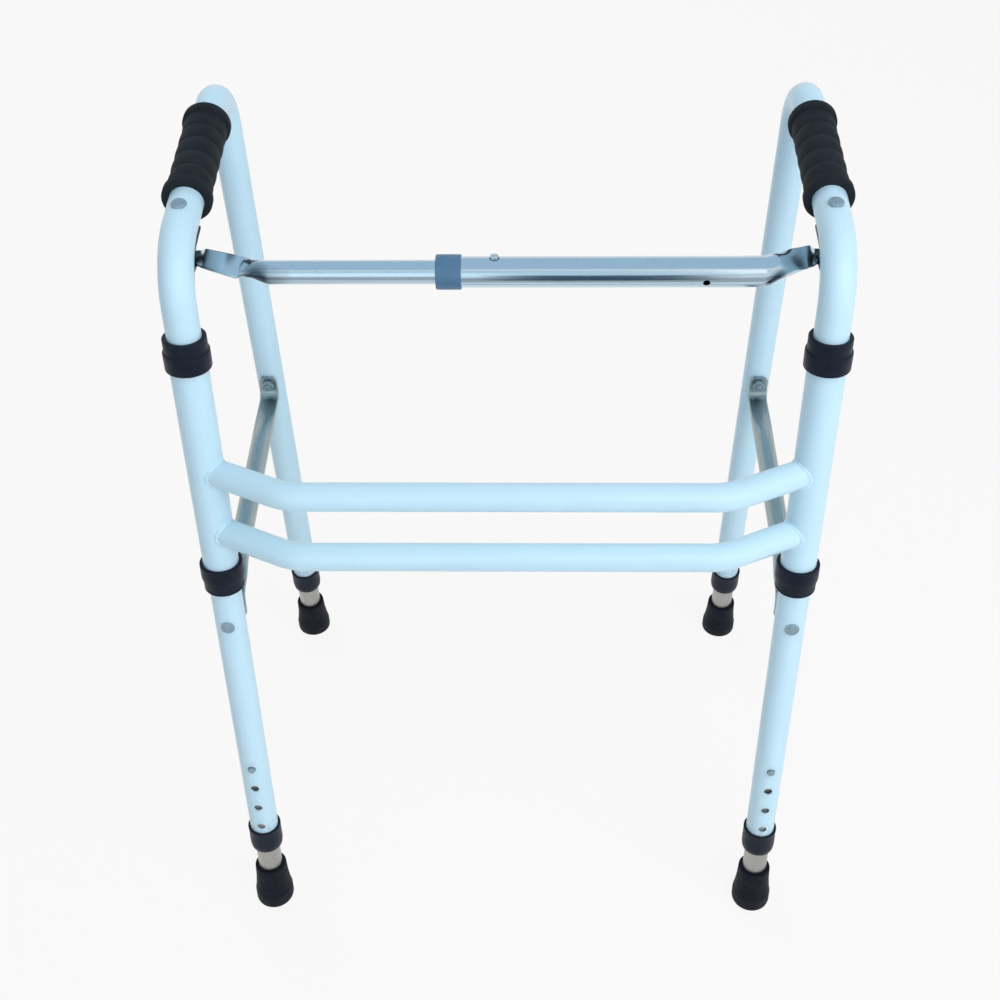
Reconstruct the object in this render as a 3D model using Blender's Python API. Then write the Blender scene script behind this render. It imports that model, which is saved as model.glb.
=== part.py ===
"""Folding walking frame with telescopic upper crossbar and height-adjustable legs.

All sizes are in metres. The user walks towards -Y, so X points to the user's left and Z up.
Each side frame turns in the front panel's sleeves about its own front leg, and every piece of a
side frame is modelled in that leg's frame: Z up the leg, Y to the rear in the side frame's plane.
"""
import math

import bmesh
import bpy
from mathutils import Matrix, Vector

# Stance
LEG_SPACING = 0.462        # between the two front leg axes
FOOT_DEPTH = 0.358         # between the front and rear leg axes, on the floor
LEG_LEAN = math.radians(5.4)   # front legs lean back and rear legs lean forward
TOE_OUT = math.radians(0.5)    # each side frame opens a little past square

# Side frame tube
TUBE_R = 0.0127
TUBE_BORE_R = 0.0115
TUBE_END = 0.079           # height of the cut end of each leg, along the leg
HANDLE_CORNER = 0.683      # where the handle's line meets the front leg's, along the leg
HANDLE_RISE = math.radians(5.5)
FRONT_BEND_R = 0.045
REAR_BEND_R = 0.038

# Hand grip, measured along the handle from the front corner
GRIP_FROM = 0.0675
GRIP_LENGTH = 0.1035
GRIP_R = 0.0167
GRIP_FLANGE_R = 0.0185
GRIP_FLANGE = 0.008
GRIP_GROOVE = 0.0016
GRIP_RIBS = 5

# Front panel
SLEEVE_R = 0.0143
SLEEVE_BORE_R = 0.0131
SLEEVE_FROM = 0.4025
SLEEVE_TO = 0.611
COLLAR_SKIRT_R = 0.0172
COLLAR_NECK_R = 0.0161
COLLAR_SKIRT = 0.014
COLLAR_NECK = 0.0115
CROSSBAR_R = 0.0110
CROSSBAR_WALL = 0.0012
CROSSBAR_HEIGHTS = {"upper": 0.5055, "lower": 0.4485}
CROSSBAR_BULGE = 0.0355     # the middle stands forward of the legs by this much
CROSSBAR_STRAIGHT = 0.330  # between the two bends
CROSSBAR_BEND_R = 0.045

# Telescopic crossbar
BAR_HEIGHT = 0.6660
BAR_PIVOT_BACK = 0.034     # the pivot pins stand behind the front legs' axes
BAR_MIDDLE_BACK = 0.0135   # the straight middle stands behind them by less
BAR_OUTER_R = 0.0109
BAR_OUTER_BORE_R = 0.0103
BAR_INNER_R = 0.0085
BAR_INNER_BORE_R = 0.0073
BAR_END_STRAIGHT = 0.012
BAR_STRAIGHT = 0.362
BAR_BEND_RADII = [0.012, 0.024]
BAR_TONGUE = 0.0030        # thickness of the flattened ends
BAR_TONGUE_W = 0.0170
BAR_TONGUE_NOSE = 0.0085
BAR_FLARE_W = 0.0275       # the squashed tube is widest where it starts to be round
BAR_FLARE_RISE = 0.0045    # and lies that much above the bar's axis there
BAR_MOUTH_X = -0.047       # open end of the outer tube
BAR_INNER_END_X = 0.030
BAR_INNER_BORE_DEPTH = 0.080
BAR_BORE_STOP = 0.015      # the outer bore ends this far before the bend
BAR_BUTTON_X = -0.008
BAR_COLLAR_R = 0.0123
BAR_COLLAR_LENGTH = 0.018
BAR_COLLAR_LIP = 0.0022    # the collar overlaps the outer tube's end by this much
BAR_LOCK_HOLE_X = 0.140
BAR_LOCK_HOLE_R = 0.0026

# Bracket that carries the bar's pivot
BRACKET_THICK = 0.0020
BRACKET_WIDTH = 0.0195
BRACKET_LUG_REACH = 0.0440
BRACKET_LUG_GAP = 0.0038
BRACKET_FROM = 0.6610
BRACKET_BOLT_FROM = 0.0465  # along the handle from the front corner
BRACKET_TO = 0.0560
BRACKET_LUG_ROUND = 0.0090
PIVOT_R = 0.0030

# Side brace
BRACE_TAB_THICK = 0.0030
BRACE_TAB_W = 0.0225
BRACE_FRONT_HEIGHT = 0.3555
BRACE_REAR_HEIGHT = 0.393  # along the rear leg, from its foot
BRACE_TAB = 0.024
BRACE_SEGMENTS = 12
BRACE_SECTIONS = [(0.06, 0.0108, 0.0030), (0.16, 0.0084, 0.0076), (0.20, 0.0080, 0.0080),
                  (0.80, 0.0080, 0.0080), (0.84, 0.0084, 0.0076), (0.94, 0.0108, 0.0030)]

# Legs and feet
LEG_R = 0.0111
LEG_BORE_R = 0.0099
LEG_BOTTOM = 0.010
LEG_TOP = 0.235
TIP_TOP = 0.046
TIP_R = 0.0175
FERRULE_R = 0.0150
FERRULE_TOP = 0.102
FERRULE_BOTTOM = 0.0755
HOLE_TOP = 0.187
HOLE_PITCH = 0.0254
HOLE_COUNT = 4
HOLE_R = 0.0036

# Fasteners and buttons
BOLT_R = 0.0030
BOLT_HEAD_R = 0.0058
BOLT_HEAD = 0.0026
BOLT_END = 0.001           # a bolt's shank stands out of its nut by this much
NUT_R = 0.0056
NUT_THICK = 0.0042
BUTTON_R = 0.0031
BUTTON_PROUD = 0.0028
CLIP_LENGTH = 0.040
CLIP_THICK = 0.0008
CLIP_WIDTH = 0.0060

GAP = 0.0003               # clearance between pieces that touch
TUBE_SEGMENTS = 16
BAR_SEGMENTS = 16
SMALL_SEGMENTS = 10
BEND_STEPS = 6

SIDES = {"left": 1, "right": -1}
X_AXIS = Vector((1, 0, 0))
Y_AXIS = Vector((0, 1, 0))
Z_AXIS = Vector((0, 0, 1))


def clear_scene():
    for item in list(bpy.data.objects):
        bpy.data.objects.remove(item, do_unlink=True)


def material(name, colour, roughness, metallic=0.0):
    made = bpy.data.materials.get(name)
    if made is None:
        made = bpy.data.materials.new(name)
        made.use_nodes = True
        shader = made.node_tree.nodes["Principled BSDF"]
        shader.inputs["Base Color"].default_value = (*colour, 1.0)
        shader.inputs["Roughness"].default_value = roughness
        shader.inputs["Metallic"].default_value = metallic
    return made


def white_paint():
    return material("white_powder_coat", (0.78, 0.87, 0.93), 0.28)


def chrome():
    return material("chromed_steel", (0.62, 0.68, 0.72), 0.12, 1.0)


def aluminium():
    return material("anodised_aluminium", (0.60, 0.60, 0.58), 0.38, 1.0)


def black_plastic():
    return material("black_plastic", (0.020, 0.022, 0.028), 0.42)


def black_rubber():
    return material("black_rubber", (0.016, 0.017, 0.021), 0.72)


def grip_rubber():
    return material("grip_rubber", (0.014, 0.014, 0.016), 0.80)


def grey_plastic():
    return material("slate_plastic", (0.13, 0.21, 0.31), 0.45)


def black_steel():
    return material("blackened_steel", (0.030, 0.032, 0.036), 0.40, 0.6)


def zinc_steel():
    return material("zinc_plated_steel", (0.55, 0.56, 0.57), 0.30, 1.0)


def empty(name, matrix, parent=None):
    axis = bpy.data.objects.new(name, None)
    bpy.context.scene.collection.objects.link(axis)
    axis.empty_display_size = 0.03
    axis.parent = parent
    axis.matrix_local = matrix
    return axis


def finish(name, bm, mat, parent, matrix=None, sharp=35.0):
    """Turn a bmesh into a named object with its own copy of the finish."""
    bmesh.ops.recalc_face_normals(bm, faces=bm.faces)
    mesh = bpy.data.meshes.new(name)
    bm.to_mesh(mesh)
    bm.free()
    mesh.shade_smooth()
    mesh.set_sharp_from_angle(angle=math.radians(sharp))
    obj = bpy.data.objects.new(name, mesh)
    bpy.context.scene.collection.objects.link(obj)
    own = mat.copy()
    own.name = name + "_" + mat.name
    obj.data.materials.append(own)
    obj.parent = parent
    if matrix is not None:
        obj.matrix_local = matrix
    return obj


def drill(obj, cutter):
    """Cut a hidden guide body out of an object, and leave the guide in the file."""
    cutter.hide_render = True
    cutter.display_type = "WIRE"
    cut = obj.modifiers.new(cutter.name, "BOOLEAN")
    cut.operation = "DIFFERENCE"
    cut.solver = "EXACT"
    cut.object = cutter
    return obj


def ring(centre, u, v, ru, rv, count):
    """An ellipse of points round a centre, from two unit vectors and two radii."""
    points = []
    for step in range(count):
        angle = 2.0 * math.pi * (step + 0.5) / count
        points.append(centre + u * (ru * math.cos(angle)) + v * (rv * math.sin(angle)))
    return points


def loft(rings, closed=False):
    """Skin rings of equal length; closed joins the last ring to the first, or else caps are made."""
    bm = bmesh.new()
    loops = [[bm.verts.new(point) for point in points] for points in rings]
    pairs = list(zip(loops, loops[1:]))
    if closed:
        pairs.append((loops[-1], loops[0]))
    for low, high in pairs:
        count = len(low)
        for index in range(count):
            after = (index + 1) % count
            bm.faces.new((low[index], low[after], high[after], high[index]))
    if not closed:
        bm.faces.new(list(reversed(loops[0])))
        bm.faces.new(loops[-1])
    return bm


def turned(profile, count):
    """Revolve a closed outline of (radius, height) points that stays off the Z axis."""
    rings = []
    for radius, height in profile:
        rings.append(ring(Z_AXIS * height, X_AXIS, Y_AXIS, radius, radius, count))
    return loft(rings, closed=True)


def turned_solid(profile, count):
    """Revolve an open outline of (radius, height) points and cap both of its ends."""
    rings = []
    for radius, height in profile:
        rings.append(ring(Z_AXIS * height, X_AXIS, Y_AXIS, radius, radius, count))
    return loft(rings)


def rod(name, radius, length, matrix, parent, count=SMALL_SEGMENTS):
    """A guide body: a plain cylinder centred on its matrix, along Z."""
    body = turned_solid([(radius, -length / 2), (radius, length / 2)], count)
    return finish(name, body, zinc_steel(), parent, matrix)


def look_along(origin, direction, side=X_AXIS):
    """Matrix whose Z runs along a direction and whose X stays near a side vector."""
    z = direction.normalized()
    if abs(z.dot(side)) > 0.9999:
        side = Z_AXIS
    x = (side - z * side.dot(z)).normalized()
    y = z.cross(x)
    return Matrix.Translation(origin) @ Matrix((x, y, z)).transposed().to_4x4()


def bent_path(corners, radii, steps=BEND_STEPS):
    """Stations (point, direction) along straight runs joined by arcs at the inner corners."""
    stations = [(corners[0], (corners[1] - corners[0]).normalized())]
    for index in range(1, len(corners) - 1):
        before = (corners[index] - corners[index - 1]).normalized()
        after = (corners[index + 1] - corners[index]).normalized()
        turn = before.angle(after)
        radius = radii[index - 1]
        start = corners[index] - before * (radius * math.tan(turn / 2))
        inward = (after - before * after.dot(before)).normalized()
        for step in range(steps + 1):
            angle = turn * step / steps
            point = start + before * (radius * math.sin(angle)) + inward * (radius * (1 - math.cos(angle)))
            stations.append((point, before * math.cos(angle) + inward * math.sin(angle)))
    stations.append((corners[-1], (corners[-1] - corners[-2]).normalized()))
    return stations


def swept_rings(stations, normal, radius, count):
    rings = []
    for point, direction in stations:
        rings.append(ring(point, normal, direction.cross(normal).normalized(), radius, radius, count))
    return rings


def swept_tube(stations, normal, radius, bore, count=TUBE_SEGMENTS):
    """An open-ended tube along planar stations; the bore runs back inside the outer skin."""
    outer = swept_rings(stations, normal, radius, count)
    inner = swept_rings(stations, normal, bore, count)
    return loft(outer + inner[::-1], closed=True)


def station_at(stations, distance):
    """Point and direction at a distance along the stations."""
    left = distance
    for (point, direction), (after, after_direction) in zip(stations, stations[1:]):
        length = (after - point).length
        if left <= length:
            share = left / length
            blend = direction.lerp(after_direction, share).normalized()
            return point.lerp(after, share), blend
        left -= length
    return stations[-1]


def stations_between(stations, low, high):
    """The stations between two distances, with one added at each of the distances."""
    chosen = [station_at(stations, low)]
    distance = 0.0
    for (point, _), (after, direction) in zip(stations, stations[1:]):
        distance += (after - point).length
        if low + 0.001 < distance < high - 0.001:
            chosen.append((after, direction))
    chosen.append(station_at(stations, high))
    return chosen


def line_meet(point_a, direction_a, point_b, direction_b):
    """Where two lines in the YZ plane of a side frame meet."""
    cross = direction_a.y * direction_b.z - direction_a.z * direction_b.y
    offset = point_b - point_a
    along = (offset.y * direction_b.z - offset.z * direction_b.y) / cross
    return point_a + direction_a * along


def leg_axis_matrix(side):
    """A front leg's frame: Z up the leg, Y to the rear, opened by the toe-out angle."""
    foot = Vector((side * LEG_SPACING / 2, -FOOT_DEPTH / 2, 0.0))
    lean = Matrix.Rotation(-LEG_LEAN, 4, "X")
    toe = Matrix.Rotation(-side * TOE_OUT, 4, "Z")
    return Matrix.Translation(foot) @ lean @ toe


def panel_matrix():
    """The front panel's frame: X across, Z up the front legs, Y to the rear."""
    return Matrix.Translation((0.0, -FOOT_DEPTH / 2, 0.0)) @ Matrix.Rotation(-LEG_LEAN, 4, "X")


def rear_foot():
    """The rear leg's foot in the side frame's own frame."""
    return Vector((0.0, FOOT_DEPTH * math.cos(LEG_LEAN) / math.cos(TOE_OUT), FOOT_DEPTH * math.sin(LEG_LEAN)))


def rear_direction():
    return Vector((0.0, -math.sin(2 * LEG_LEAN), math.cos(2 * LEG_LEAN)))


def side_corners():
    handle = Vector((0.0, math.cos(HANDLE_RISE + LEG_LEAN), math.sin(HANDLE_RISE + LEG_LEAN)))
    front = Vector((0.0, 0.0, HANDLE_CORNER))
    rear = line_meet(front, handle, rear_foot(), rear_direction())
    start = Vector((0.0, 0.0, TUBE_END))
    end = rear_foot() + rear_direction() * TUBE_END
    return [start, front, rear, end]


def side_stations():
    return bent_path(side_corners(), [FRONT_BEND_R, REAR_BEND_R], BEND_STEPS)


def rear_leg_matrix():
    """Rear leg's own frame inside the side frame: Z up the leg, Y to the rear."""
    return look_along(rear_foot(), rear_direction())


def side_frame(name, axis):
    skin = swept_tube(side_stations(), X_AXIS, TUBE_R, TUBE_BORE_R)
    tube = finish(name + "_side_frame", skin, white_paint(), axis)
    for leg, matrix, facing in legs():
        for index in range(HOLE_COUNT):
            height = HOLE_TOP - index * HOLE_PITCH
            at = matrix @ look_along(Vector((0, facing * TUBE_R, height)), Y_AXIS)
            drill(tube, rod(f"{name}_{leg}_hole_guide_{index + 1}", HOLE_R, 0.012, at, axis))
        drill(tube, brace_bolt_guide(name, leg, matrix, axis))
    drill(tube, bracket_bolt_guide(name, axis))
    return tube


def legs():
    """Each leg's name, its frame inside the side frame, and the way its adjusting holes face."""
    return [("front", Matrix.Identity(4), -1), ("rear", rear_leg_matrix(), 1)]


def brace_bolt_guide(name, leg, matrix, axis):
    height = BRACE_FRONT_HEIGHT if leg == "front" else BRACE_REAR_HEIGHT
    at = matrix @ look_along(Z_AXIS * height, Y_AXIS)
    return rod(f"{name}_{leg}_brace_bolt_guide", BOLT_R + GAP, 0.05, at, axis)


def handle_distance(along):
    """Distance along the side frame's stations of a place on the handle, from the front corner."""
    turn = math.pi / 2 - HANDLE_RISE - LEG_LEAN
    corner_run = FRONT_BEND_R * math.tan(turn / 2)
    stations = side_stations()
    arc = 2 * FRONT_BEND_R * math.sin(turn / BEND_STEPS / 2) * BEND_STEPS
    return stations[1][0].z - TUBE_END + arc - corner_run + along


def bracket_bolt_pose():
    """Where the bracket's bolt crosses the handle: the tube's centre and the way down into the frame."""
    point, direction = station_at(side_stations(), handle_distance(BRACKET_BOLT_FROM))
    return point, direction.cross(X_AXIS).normalized()


def bracket_bolt_guide(name, axis):
    point, inward = bracket_bolt_pose()
    return rod(name + "_bracket_bolt_guide", BOLT_R + GAP, 0.05, look_along(point, inward), axis)


def hand_grip(name, axis):
    """Moulded sleeve swept along the handle, with end flanges and rounded finger ribs."""
    stations = side_stations()
    profile = [(0.0, GRIP_FLANGE_R - 0.0012), (0.0012, GRIP_FLANGE_R)]
    profile += [(GRIP_FLANGE - 0.0012, GRIP_FLANGE_R), (GRIP_FLANGE, GRIP_R - 0.0004)]
    body = GRIP_LENGTH - 2 * GRIP_FLANGE
    for rib in range(GRIP_RIBS):
        low = GRIP_FLANGE + body * rib / GRIP_RIBS
        wide = body / GRIP_RIBS
        profile += [(low + wide * 0.25, GRIP_R), (low + wide * 0.75, GRIP_R)]
        if rib < GRIP_RIBS - 1:
            profile.append((low + wide, GRIP_R - GRIP_GROOVE))
    profile += [(GRIP_LENGTH - GRIP_FLANGE, GRIP_R - 0.0004)]
    profile += [(GRIP_LENGTH - GRIP_FLANGE + 0.0012, GRIP_FLANGE_R)]
    profile += [(GRIP_LENGTH - 0.0012, GRIP_FLANGE_R), (GRIP_LENGTH, GRIP_FLANGE_R - 0.0012)]
    start = handle_distance(GRIP_FROM)
    outer = []
    for along, radius in profile:
        point, direction = station_at(stations, start + along)
        outer.append(ring(point, X_AXIS, direction.cross(X_AXIS).normalized(), radius, radius, TUBE_SEGMENTS))
    covered = stations_between(stations, start, start + GRIP_LENGTH)
    inner = swept_rings(covered, X_AXIS, TUBE_R + GAP, TUBE_SEGMENTS)
    return finish(name + "_hand_grip", loft(outer + inner[::-1], closed=True), grip_rubber(), axis)


def sleeve(name, side, panel):
    foot = Vector((side * LEG_SPACING / 2, 0, 0))
    stations = [(foot + Z_AXIS * height, Z_AXIS) for height in (SLEEVE_FROM, SLEEVE_TO)]
    tube = swept_tube(stations, X_AXIS, SLEEVE_R, SLEEVE_BORE_R)
    return finish(name + "_sleeve", tube, white_paint(), panel)


def collar_profile():
    """Stepped bush: a skirt over the sleeve's end and a neck that bears on the tube; Z points out."""
    bore = SLEEVE_BORE_R
    over = SLEEVE_R + GAP
    return [
        (over, -COLLAR_SKIRT), (COLLAR_SKIRT_R - 0.0008, -COLLAR_SKIRT),
        (COLLAR_SKIRT_R, -COLLAR_SKIRT + 0.0010), (COLLAR_SKIRT_R, -0.0006), (COLLAR_NECK_R, 0.0006),
        (COLLAR_NECK_R, COLLAR_NECK - 0.0012), (COLLAR_NECK_R - 0.0010, COLLAR_NECK), (bore, COLLAR_NECK),
        (bore, GAP), (over, GAP),
    ]


def collar(name, side, end, panel):
    up = 1 if end == "upper" else -1
    height = SLEEVE_TO if end == "upper" else SLEEVE_FROM
    matrix = look_along(Vector((side * LEG_SPACING / 2, 0, height)), Z_AXIS * up)
    body = turned(collar_profile(), TUBE_SEGMENTS)
    return finish(f"{name}_{end}_collar", body, black_plastic(), panel, matrix)


def crossbar(end, panel):
    """Bent tube whose ends are coped to the two sleeves that they are welded to."""
    height = CROSSBAR_HEIGHTS[end]
    reach = LEG_SPACING / 2
    corners = [Vector((-reach, 0, height)), Vector((-CROSSBAR_STRAIGHT / 2, -CROSSBAR_BULGE, height)),
               Vector((CROSSBAR_STRAIGHT / 2, -CROSSBAR_BULGE, height)), Vector((reach, 0, height))]
    stations = bent_path(corners, [CROSSBAR_BEND_R, CROSSBAR_BEND_R], 3)
    tube = swept_tube(stations, Z_AXIS, CROSSBAR_R, CROSSBAR_R - CROSSBAR_WALL, BAR_SEGMENTS)
    bar = finish(end + "_crossbar", tube, white_paint(), panel)
    for name, side in SIDES.items():
        at = Matrix.Translation((side * reach, 0, height))
        drill(bar, rod(f"{name}_{end}_cope_guide", SLEEVE_R + GAP, 0.06, at, panel, TUBE_SEGMENTS))
    return bar


def bar_pivot(side):
    """The pivot pin's place in the front panel's frame; the toe-out carries it a little outward."""
    reach = LEG_SPACING / 2 + BAR_PIVOT_BACK * math.sin(TOE_OUT)
    return Vector((side * reach, BAR_PIVOT_BACK * math.cos(TOE_OUT), BAR_HEIGHT))


def bar_corners(side):
    """Centre line of one end of the telescopic crossbar, from its pivot to its straight middle."""
    pivot = bar_pivot(side)
    return [pivot + Vector((side * BAR_TONGUE_NOSE, 0, 0)), pivot - Vector((side * BAR_END_STRAIGHT, 0, 0)),
            Vector((side * BAR_STRAIGHT / 2, BAR_MIDDLE_BACK, BAR_HEIGHT))]


def bar_skin(side, end_x, radius):
    """Rings of one half of the bar: flattened nose, squashed end, round tube and its cut end."""
    corners = bar_corners(side) + [Vector((end_x, BAR_MIDDLE_BACK, BAR_HEIGHT))]
    stations = bent_path(corners, BAR_BEND_RADII, 3)
    narrow = BAR_TONGUE_W / 2
    flare = BAR_FLARE_W / 2
    thin = BAR_TONGUE / 2
    nose, way = stations[0]
    rings = []
    for along, half_width in ((0.0, narrow * 0.45), (0.25, narrow * 0.80), (0.7, narrow)):
        rings.append(flat_ring(nose + way * (BAR_TONGUE_NOSE * along), way, half_width, thin))
    for point, direction in stations[1:5]:
        rings.append(flat_ring(point, direction, narrow, thin))
    low, slope = stations[4]
    high = stations[5][0]
    for share in (0.45, 0.95):
        lifted = low.lerp(high, share) + Z_AXIS * (BAR_FLARE_RISE * share)
        rings.append(flat_ring(lifted, slope, narrow + (flare - narrow) * share, thin))
    for (point, direction), share in zip(stations[5:], (0.30, 0.65, 0.88, 1.0, 1.0)):
        thick = thin + (radius - thin) * share
        wide = flare + (radius - flare) * share
        lifted = point + Z_AXIS * (BAR_FLARE_RISE * (1 - share))
        rings.append(ring(lifted, Z_AXIS, direction.cross(Z_AXIS).normalized(), thick, wide, BAR_SEGMENTS))
    return rings


def flat_ring(centre, direction, half_width, half_thick):
    """A squashed tube's section: a stadium with as many points as the round section."""
    side = direction.cross(Z_AXIS).normalized()
    points = []
    for step in range(BAR_SEGMENTS):
        angle = 2.0 * math.pi * (step + 0.5) / BAR_SEGMENTS
        rise = math.cos(angle)
        flat = max(-1.0, min(1.0, rise * 2.2))
        points.append(centre + Z_AXIS * (half_thick * flat) + side * (half_width * math.sin(angle)))
    return points


def blind_bore(obj, name, start, direction, depth, radius, parent):
    """Bore a tube from its open end; the guide starts outside the end face."""
    centre = start + direction * (depth / 2 - 0.005)
    guide = rod(name, radius, depth + 0.010, look_along(centre, direction), parent, BAR_SEGMENTS)
    return drill(obj, guide)


def pivot_hole(obj, name, side, parent):
    return drill(obj, rod(name, PIVOT_R + GAP, 0.03, Matrix.Translation(bar_pivot(side)), parent))


def telescopic_crossbar(panel):
    """Outer half on the user's left, inner half on the right, collar and locking button."""
    outer = finish("crossbar_outer_tube", loft(bar_skin(1, BAR_MOUTH_X, BAR_OUTER_R)), chrome(), panel)
    start = Vector((BAR_MOUTH_X, BAR_MIDDLE_BACK, BAR_HEIGHT))
    depth = BAR_STRAIGHT / 2 - BAR_BORE_STOP - BAR_MOUTH_X
    blind_bore(outer, "outer_tube_bore_guide", start, X_AXIS, depth, BAR_OUTER_BORE_R, panel)
    pivot_hole(outer, "outer_tube_pivot_guide", 1, panel)
    at = look_along(Vector((BAR_BUTTON_X, BAR_MIDDLE_BACK, BAR_HEIGHT + BAR_OUTER_R)), Z_AXIS)
    drill(outer, rod("outer_tube_button_guide", HOLE_R, 0.012, at, panel))
    facing = Vector((0, -1, -0.35)).normalized()
    lock = Vector((BAR_LOCK_HOLE_X, BAR_MIDDLE_BACK, BAR_HEIGHT))
    at = look_along(lock + facing * BAR_OUTER_R, facing)
    drill(outer, rod("outer_tube_lock_guide", BAR_LOCK_HOLE_R, 0.012, at, panel))

    inner = finish("crossbar_inner_tube", loft(bar_skin(-1, BAR_INNER_END_X, BAR_INNER_R)), chrome(), panel)
    start = Vector((BAR_INNER_END_X, BAR_MIDDLE_BACK, BAR_HEIGHT))
    blind_bore(inner, "inner_tube_bore_guide", start, -X_AXIS, BAR_INNER_BORE_DEPTH, BAR_INNER_BORE_R, panel)
    pivot_hole(inner, "inner_tube_pivot_guide", -1, panel)
    at = look_along(Vector((BAR_BUTTON_X, BAR_MIDDLE_BACK, BAR_HEIGHT + BAR_INNER_R)), Z_AXIS)
    drill(inner, rod("inner_tube_button_guide", HOLE_R, 0.010, at, panel))

    lip = BAR_COLLAR_LIP
    bore = BAR_OUTER_BORE_R
    over = BAR_OUTER_R + GAP
    profile = [
        (bore, -lip), (BAR_COLLAR_R - 0.0010, -lip), (BAR_COLLAR_R, -lip + 0.0010),
        (BAR_COLLAR_R, BAR_COLLAR_LENGTH - lip - 0.0010), (BAR_COLLAR_R - 0.0010, BAR_COLLAR_LENGTH - lip),
        (over, BAR_COLLAR_LENGTH - lip), (over, -GAP), (bore, -GAP),
    ]
    matrix = look_along(Vector((BAR_MOUTH_X, BAR_MIDDLE_BACK, BAR_HEIGHT)), X_AXIS, Z_AXIS)
    finish("crossbar_collar", turned(profile, BAR_SEGMENTS), grey_plastic(), panel, matrix)
    base = look_along(Vector((BAR_BUTTON_X, BAR_MIDDLE_BACK, BAR_HEIGHT)), Z_AXIS, X_AXIS)
    snap_button("crossbar_snap_button", base, BAR_OUTER_R, BAR_INNER_BORE_R, chrome(), panel)


def snap_button(name, matrix, tube_r, bore_r, mat, parent):
    """Spring clip with a round button: Z points out through the tubes, X along them."""
    back = bore_r - GAP
    low = -math.sqrt(back ** 2 - (CLIP_WIDTH / 2) ** 2) + GAP
    top = math.sqrt(back ** 2 - (CLIP_WIDTH / 2) ** 2) - GAP
    bend = CLIP_LENGTH * 0.62
    outline = [(-CLIP_LENGTH * 0.25, top), (bend, -0.0004), (-CLIP_LENGTH * 0.25, low)]
    thick = CLIP_THICK
    inner = [(-CLIP_LENGTH * 0.25, low + thick), (bend - 0.0042, -0.0002), (-CLIP_LENGTH * 0.25, top - thick)]
    bm = bmesh.new()
    ends = []
    for y in (-CLIP_WIDTH / 2, CLIP_WIDTH / 2):
        ends.append([bm.verts.new((x, y, z)) for x, z in outline + inner])
    count = len(ends[0])
    bm.faces.new(ends[0])
    bm.faces.new(list(reversed(ends[1])))
    for index in range(count):
        after = (index + 1) % count
        bm.faces.new((ends[0][index], ends[1][index], ends[1][after], ends[0][after]))
    clip = finish(name, bm, mat, parent, matrix)
    proud = tube_r + BUTTON_PROUD
    foot = top - thick - 0.0005 - 0.25 * (CLIP_LENGTH * 0.25) * (top / (bend + CLIP_LENGTH * 0.25))
    profile = [(BUTTON_R, foot), (BUTTON_R, proud - 0.0010), (BUTTON_R * 0.55, proud)]
    head = finish(name + "_head_guide", turned_solid(profile, SMALL_SEGMENTS), mat, clip)
    head.hide_render = True
    head.display_type = "WIRE"
    join = clip.modifiers.new("button head", "BOOLEAN")
    join.operation = "UNION"
    join.solver = "EXACT"
    join.object = head
    return clip


def place_at_height(points, height):
    """The place at a height on a line of points that rises all the way."""
    for low, high in zip(points, points[1:]):
        if low.z <= height <= high.z:
            return low.lerp(high, (height - low.z) / (high.z - low.z))
    return points[-1]


def bracket(name, axis):
    """Steel strap inside the front bend, with two rounded lugs that carry the bar's pivot pin."""
    thick = BRACKET_THICK
    run = stations_between(side_stations(), BRACKET_FROM - TUBE_END, handle_distance(BRACKET_TO))
    front = []
    back = []
    for point, direction in run:
        inward = direction.cross(X_AXIS).normalized()
        front.append(point + inward * (TUBE_R + GAP))
        back.append(point + inward * (TUBE_R + GAP + thick))
    outline = front
    tips = []
    above = back[-1].z + 1.0
    for low in (BAR_HEIGHT + BRACKET_LUG_GAP / 2, BAR_HEIGHT - BRACKET_LUG_GAP / 2 - thick):
        high = low + thick
        outline = outline + [point for point in back[::-1] if high < point.z < above]
        tips.append(len(outline) + 1)
        outline.append(place_at_height(back, high))
        outline.append(Vector((0, BRACKET_LUG_REACH, high)))
        outline.append(Vector((0, BRACKET_LUG_REACH, low)))
        outline.append(place_at_height(back, low))
        above = low
    outline = outline + [point for point in back[::-1] if point.z < above]
    bm = bmesh.new()
    ends = []
    for x in (-BRACKET_WIDTH / 2, BRACKET_WIDTH / 2):
        ends.append([bm.verts.new(point + Vector((x, 0, 0))) for point in outline])
    bm.faces.new(ends[0])
    bm.faces.new(list(reversed(ends[1])))
    count = len(outline)
    for index in range(count):
        after = (index + 1) % count
        bm.faces.new((ends[0][index], ends[1][index], ends[1][after], ends[0][after]))
    corners = [bm.edges.get((end[tip], end[tip + 1])) for end in ends for tip in tips]
    bmesh.ops.bevel(bm, geom=corners, offset=BRACKET_LUG_ROUND, segments=4, profile=0.5, affect="EDGES")
    obj = finish(name + "_crossbar_bracket", bm, black_steel(), axis)
    drill(obj, bracket_bolt_guide(name + "_bracket", axis))
    at = Matrix.Translation((0, BAR_PIVOT_BACK, BAR_HEIGHT))
    drill(obj, rod(name + "_bracket_pivot_guide", PIVOT_R + GAP, 0.03, at, axis))
    return obj


def dome_bolt(name, parent, matrix, length):
    """Dome-head bolt: the head's seat is at the origin and the shank runs along -Z."""
    profile = [(BOLT_R, -length), (BOLT_R, 0.0), (BOLT_HEAD_R, 0.0),
               (BOLT_HEAD_R * 0.97, BOLT_HEAD * 0.35), (BOLT_HEAD_R * 0.74, BOLT_HEAD * 0.78),
               (BOLT_HEAD_R * 0.38, BOLT_HEAD)]
    return finish(name, turned_solid(profile, SMALL_SEGMENTS), zinc_steel(), parent, matrix)


def hex_ring(height):
    """A hexagon with a point at each corner and at the middle of each side."""
    points = ring(Z_AXIS * height, X_AXIS, Y_AXIS, NUT_R, NUT_R, 6)
    full = []
    for index, point in enumerate(points):
        full.append(point)
        full.append((point + points[(index + 1) % 6]) / 2)
    return full


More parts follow.
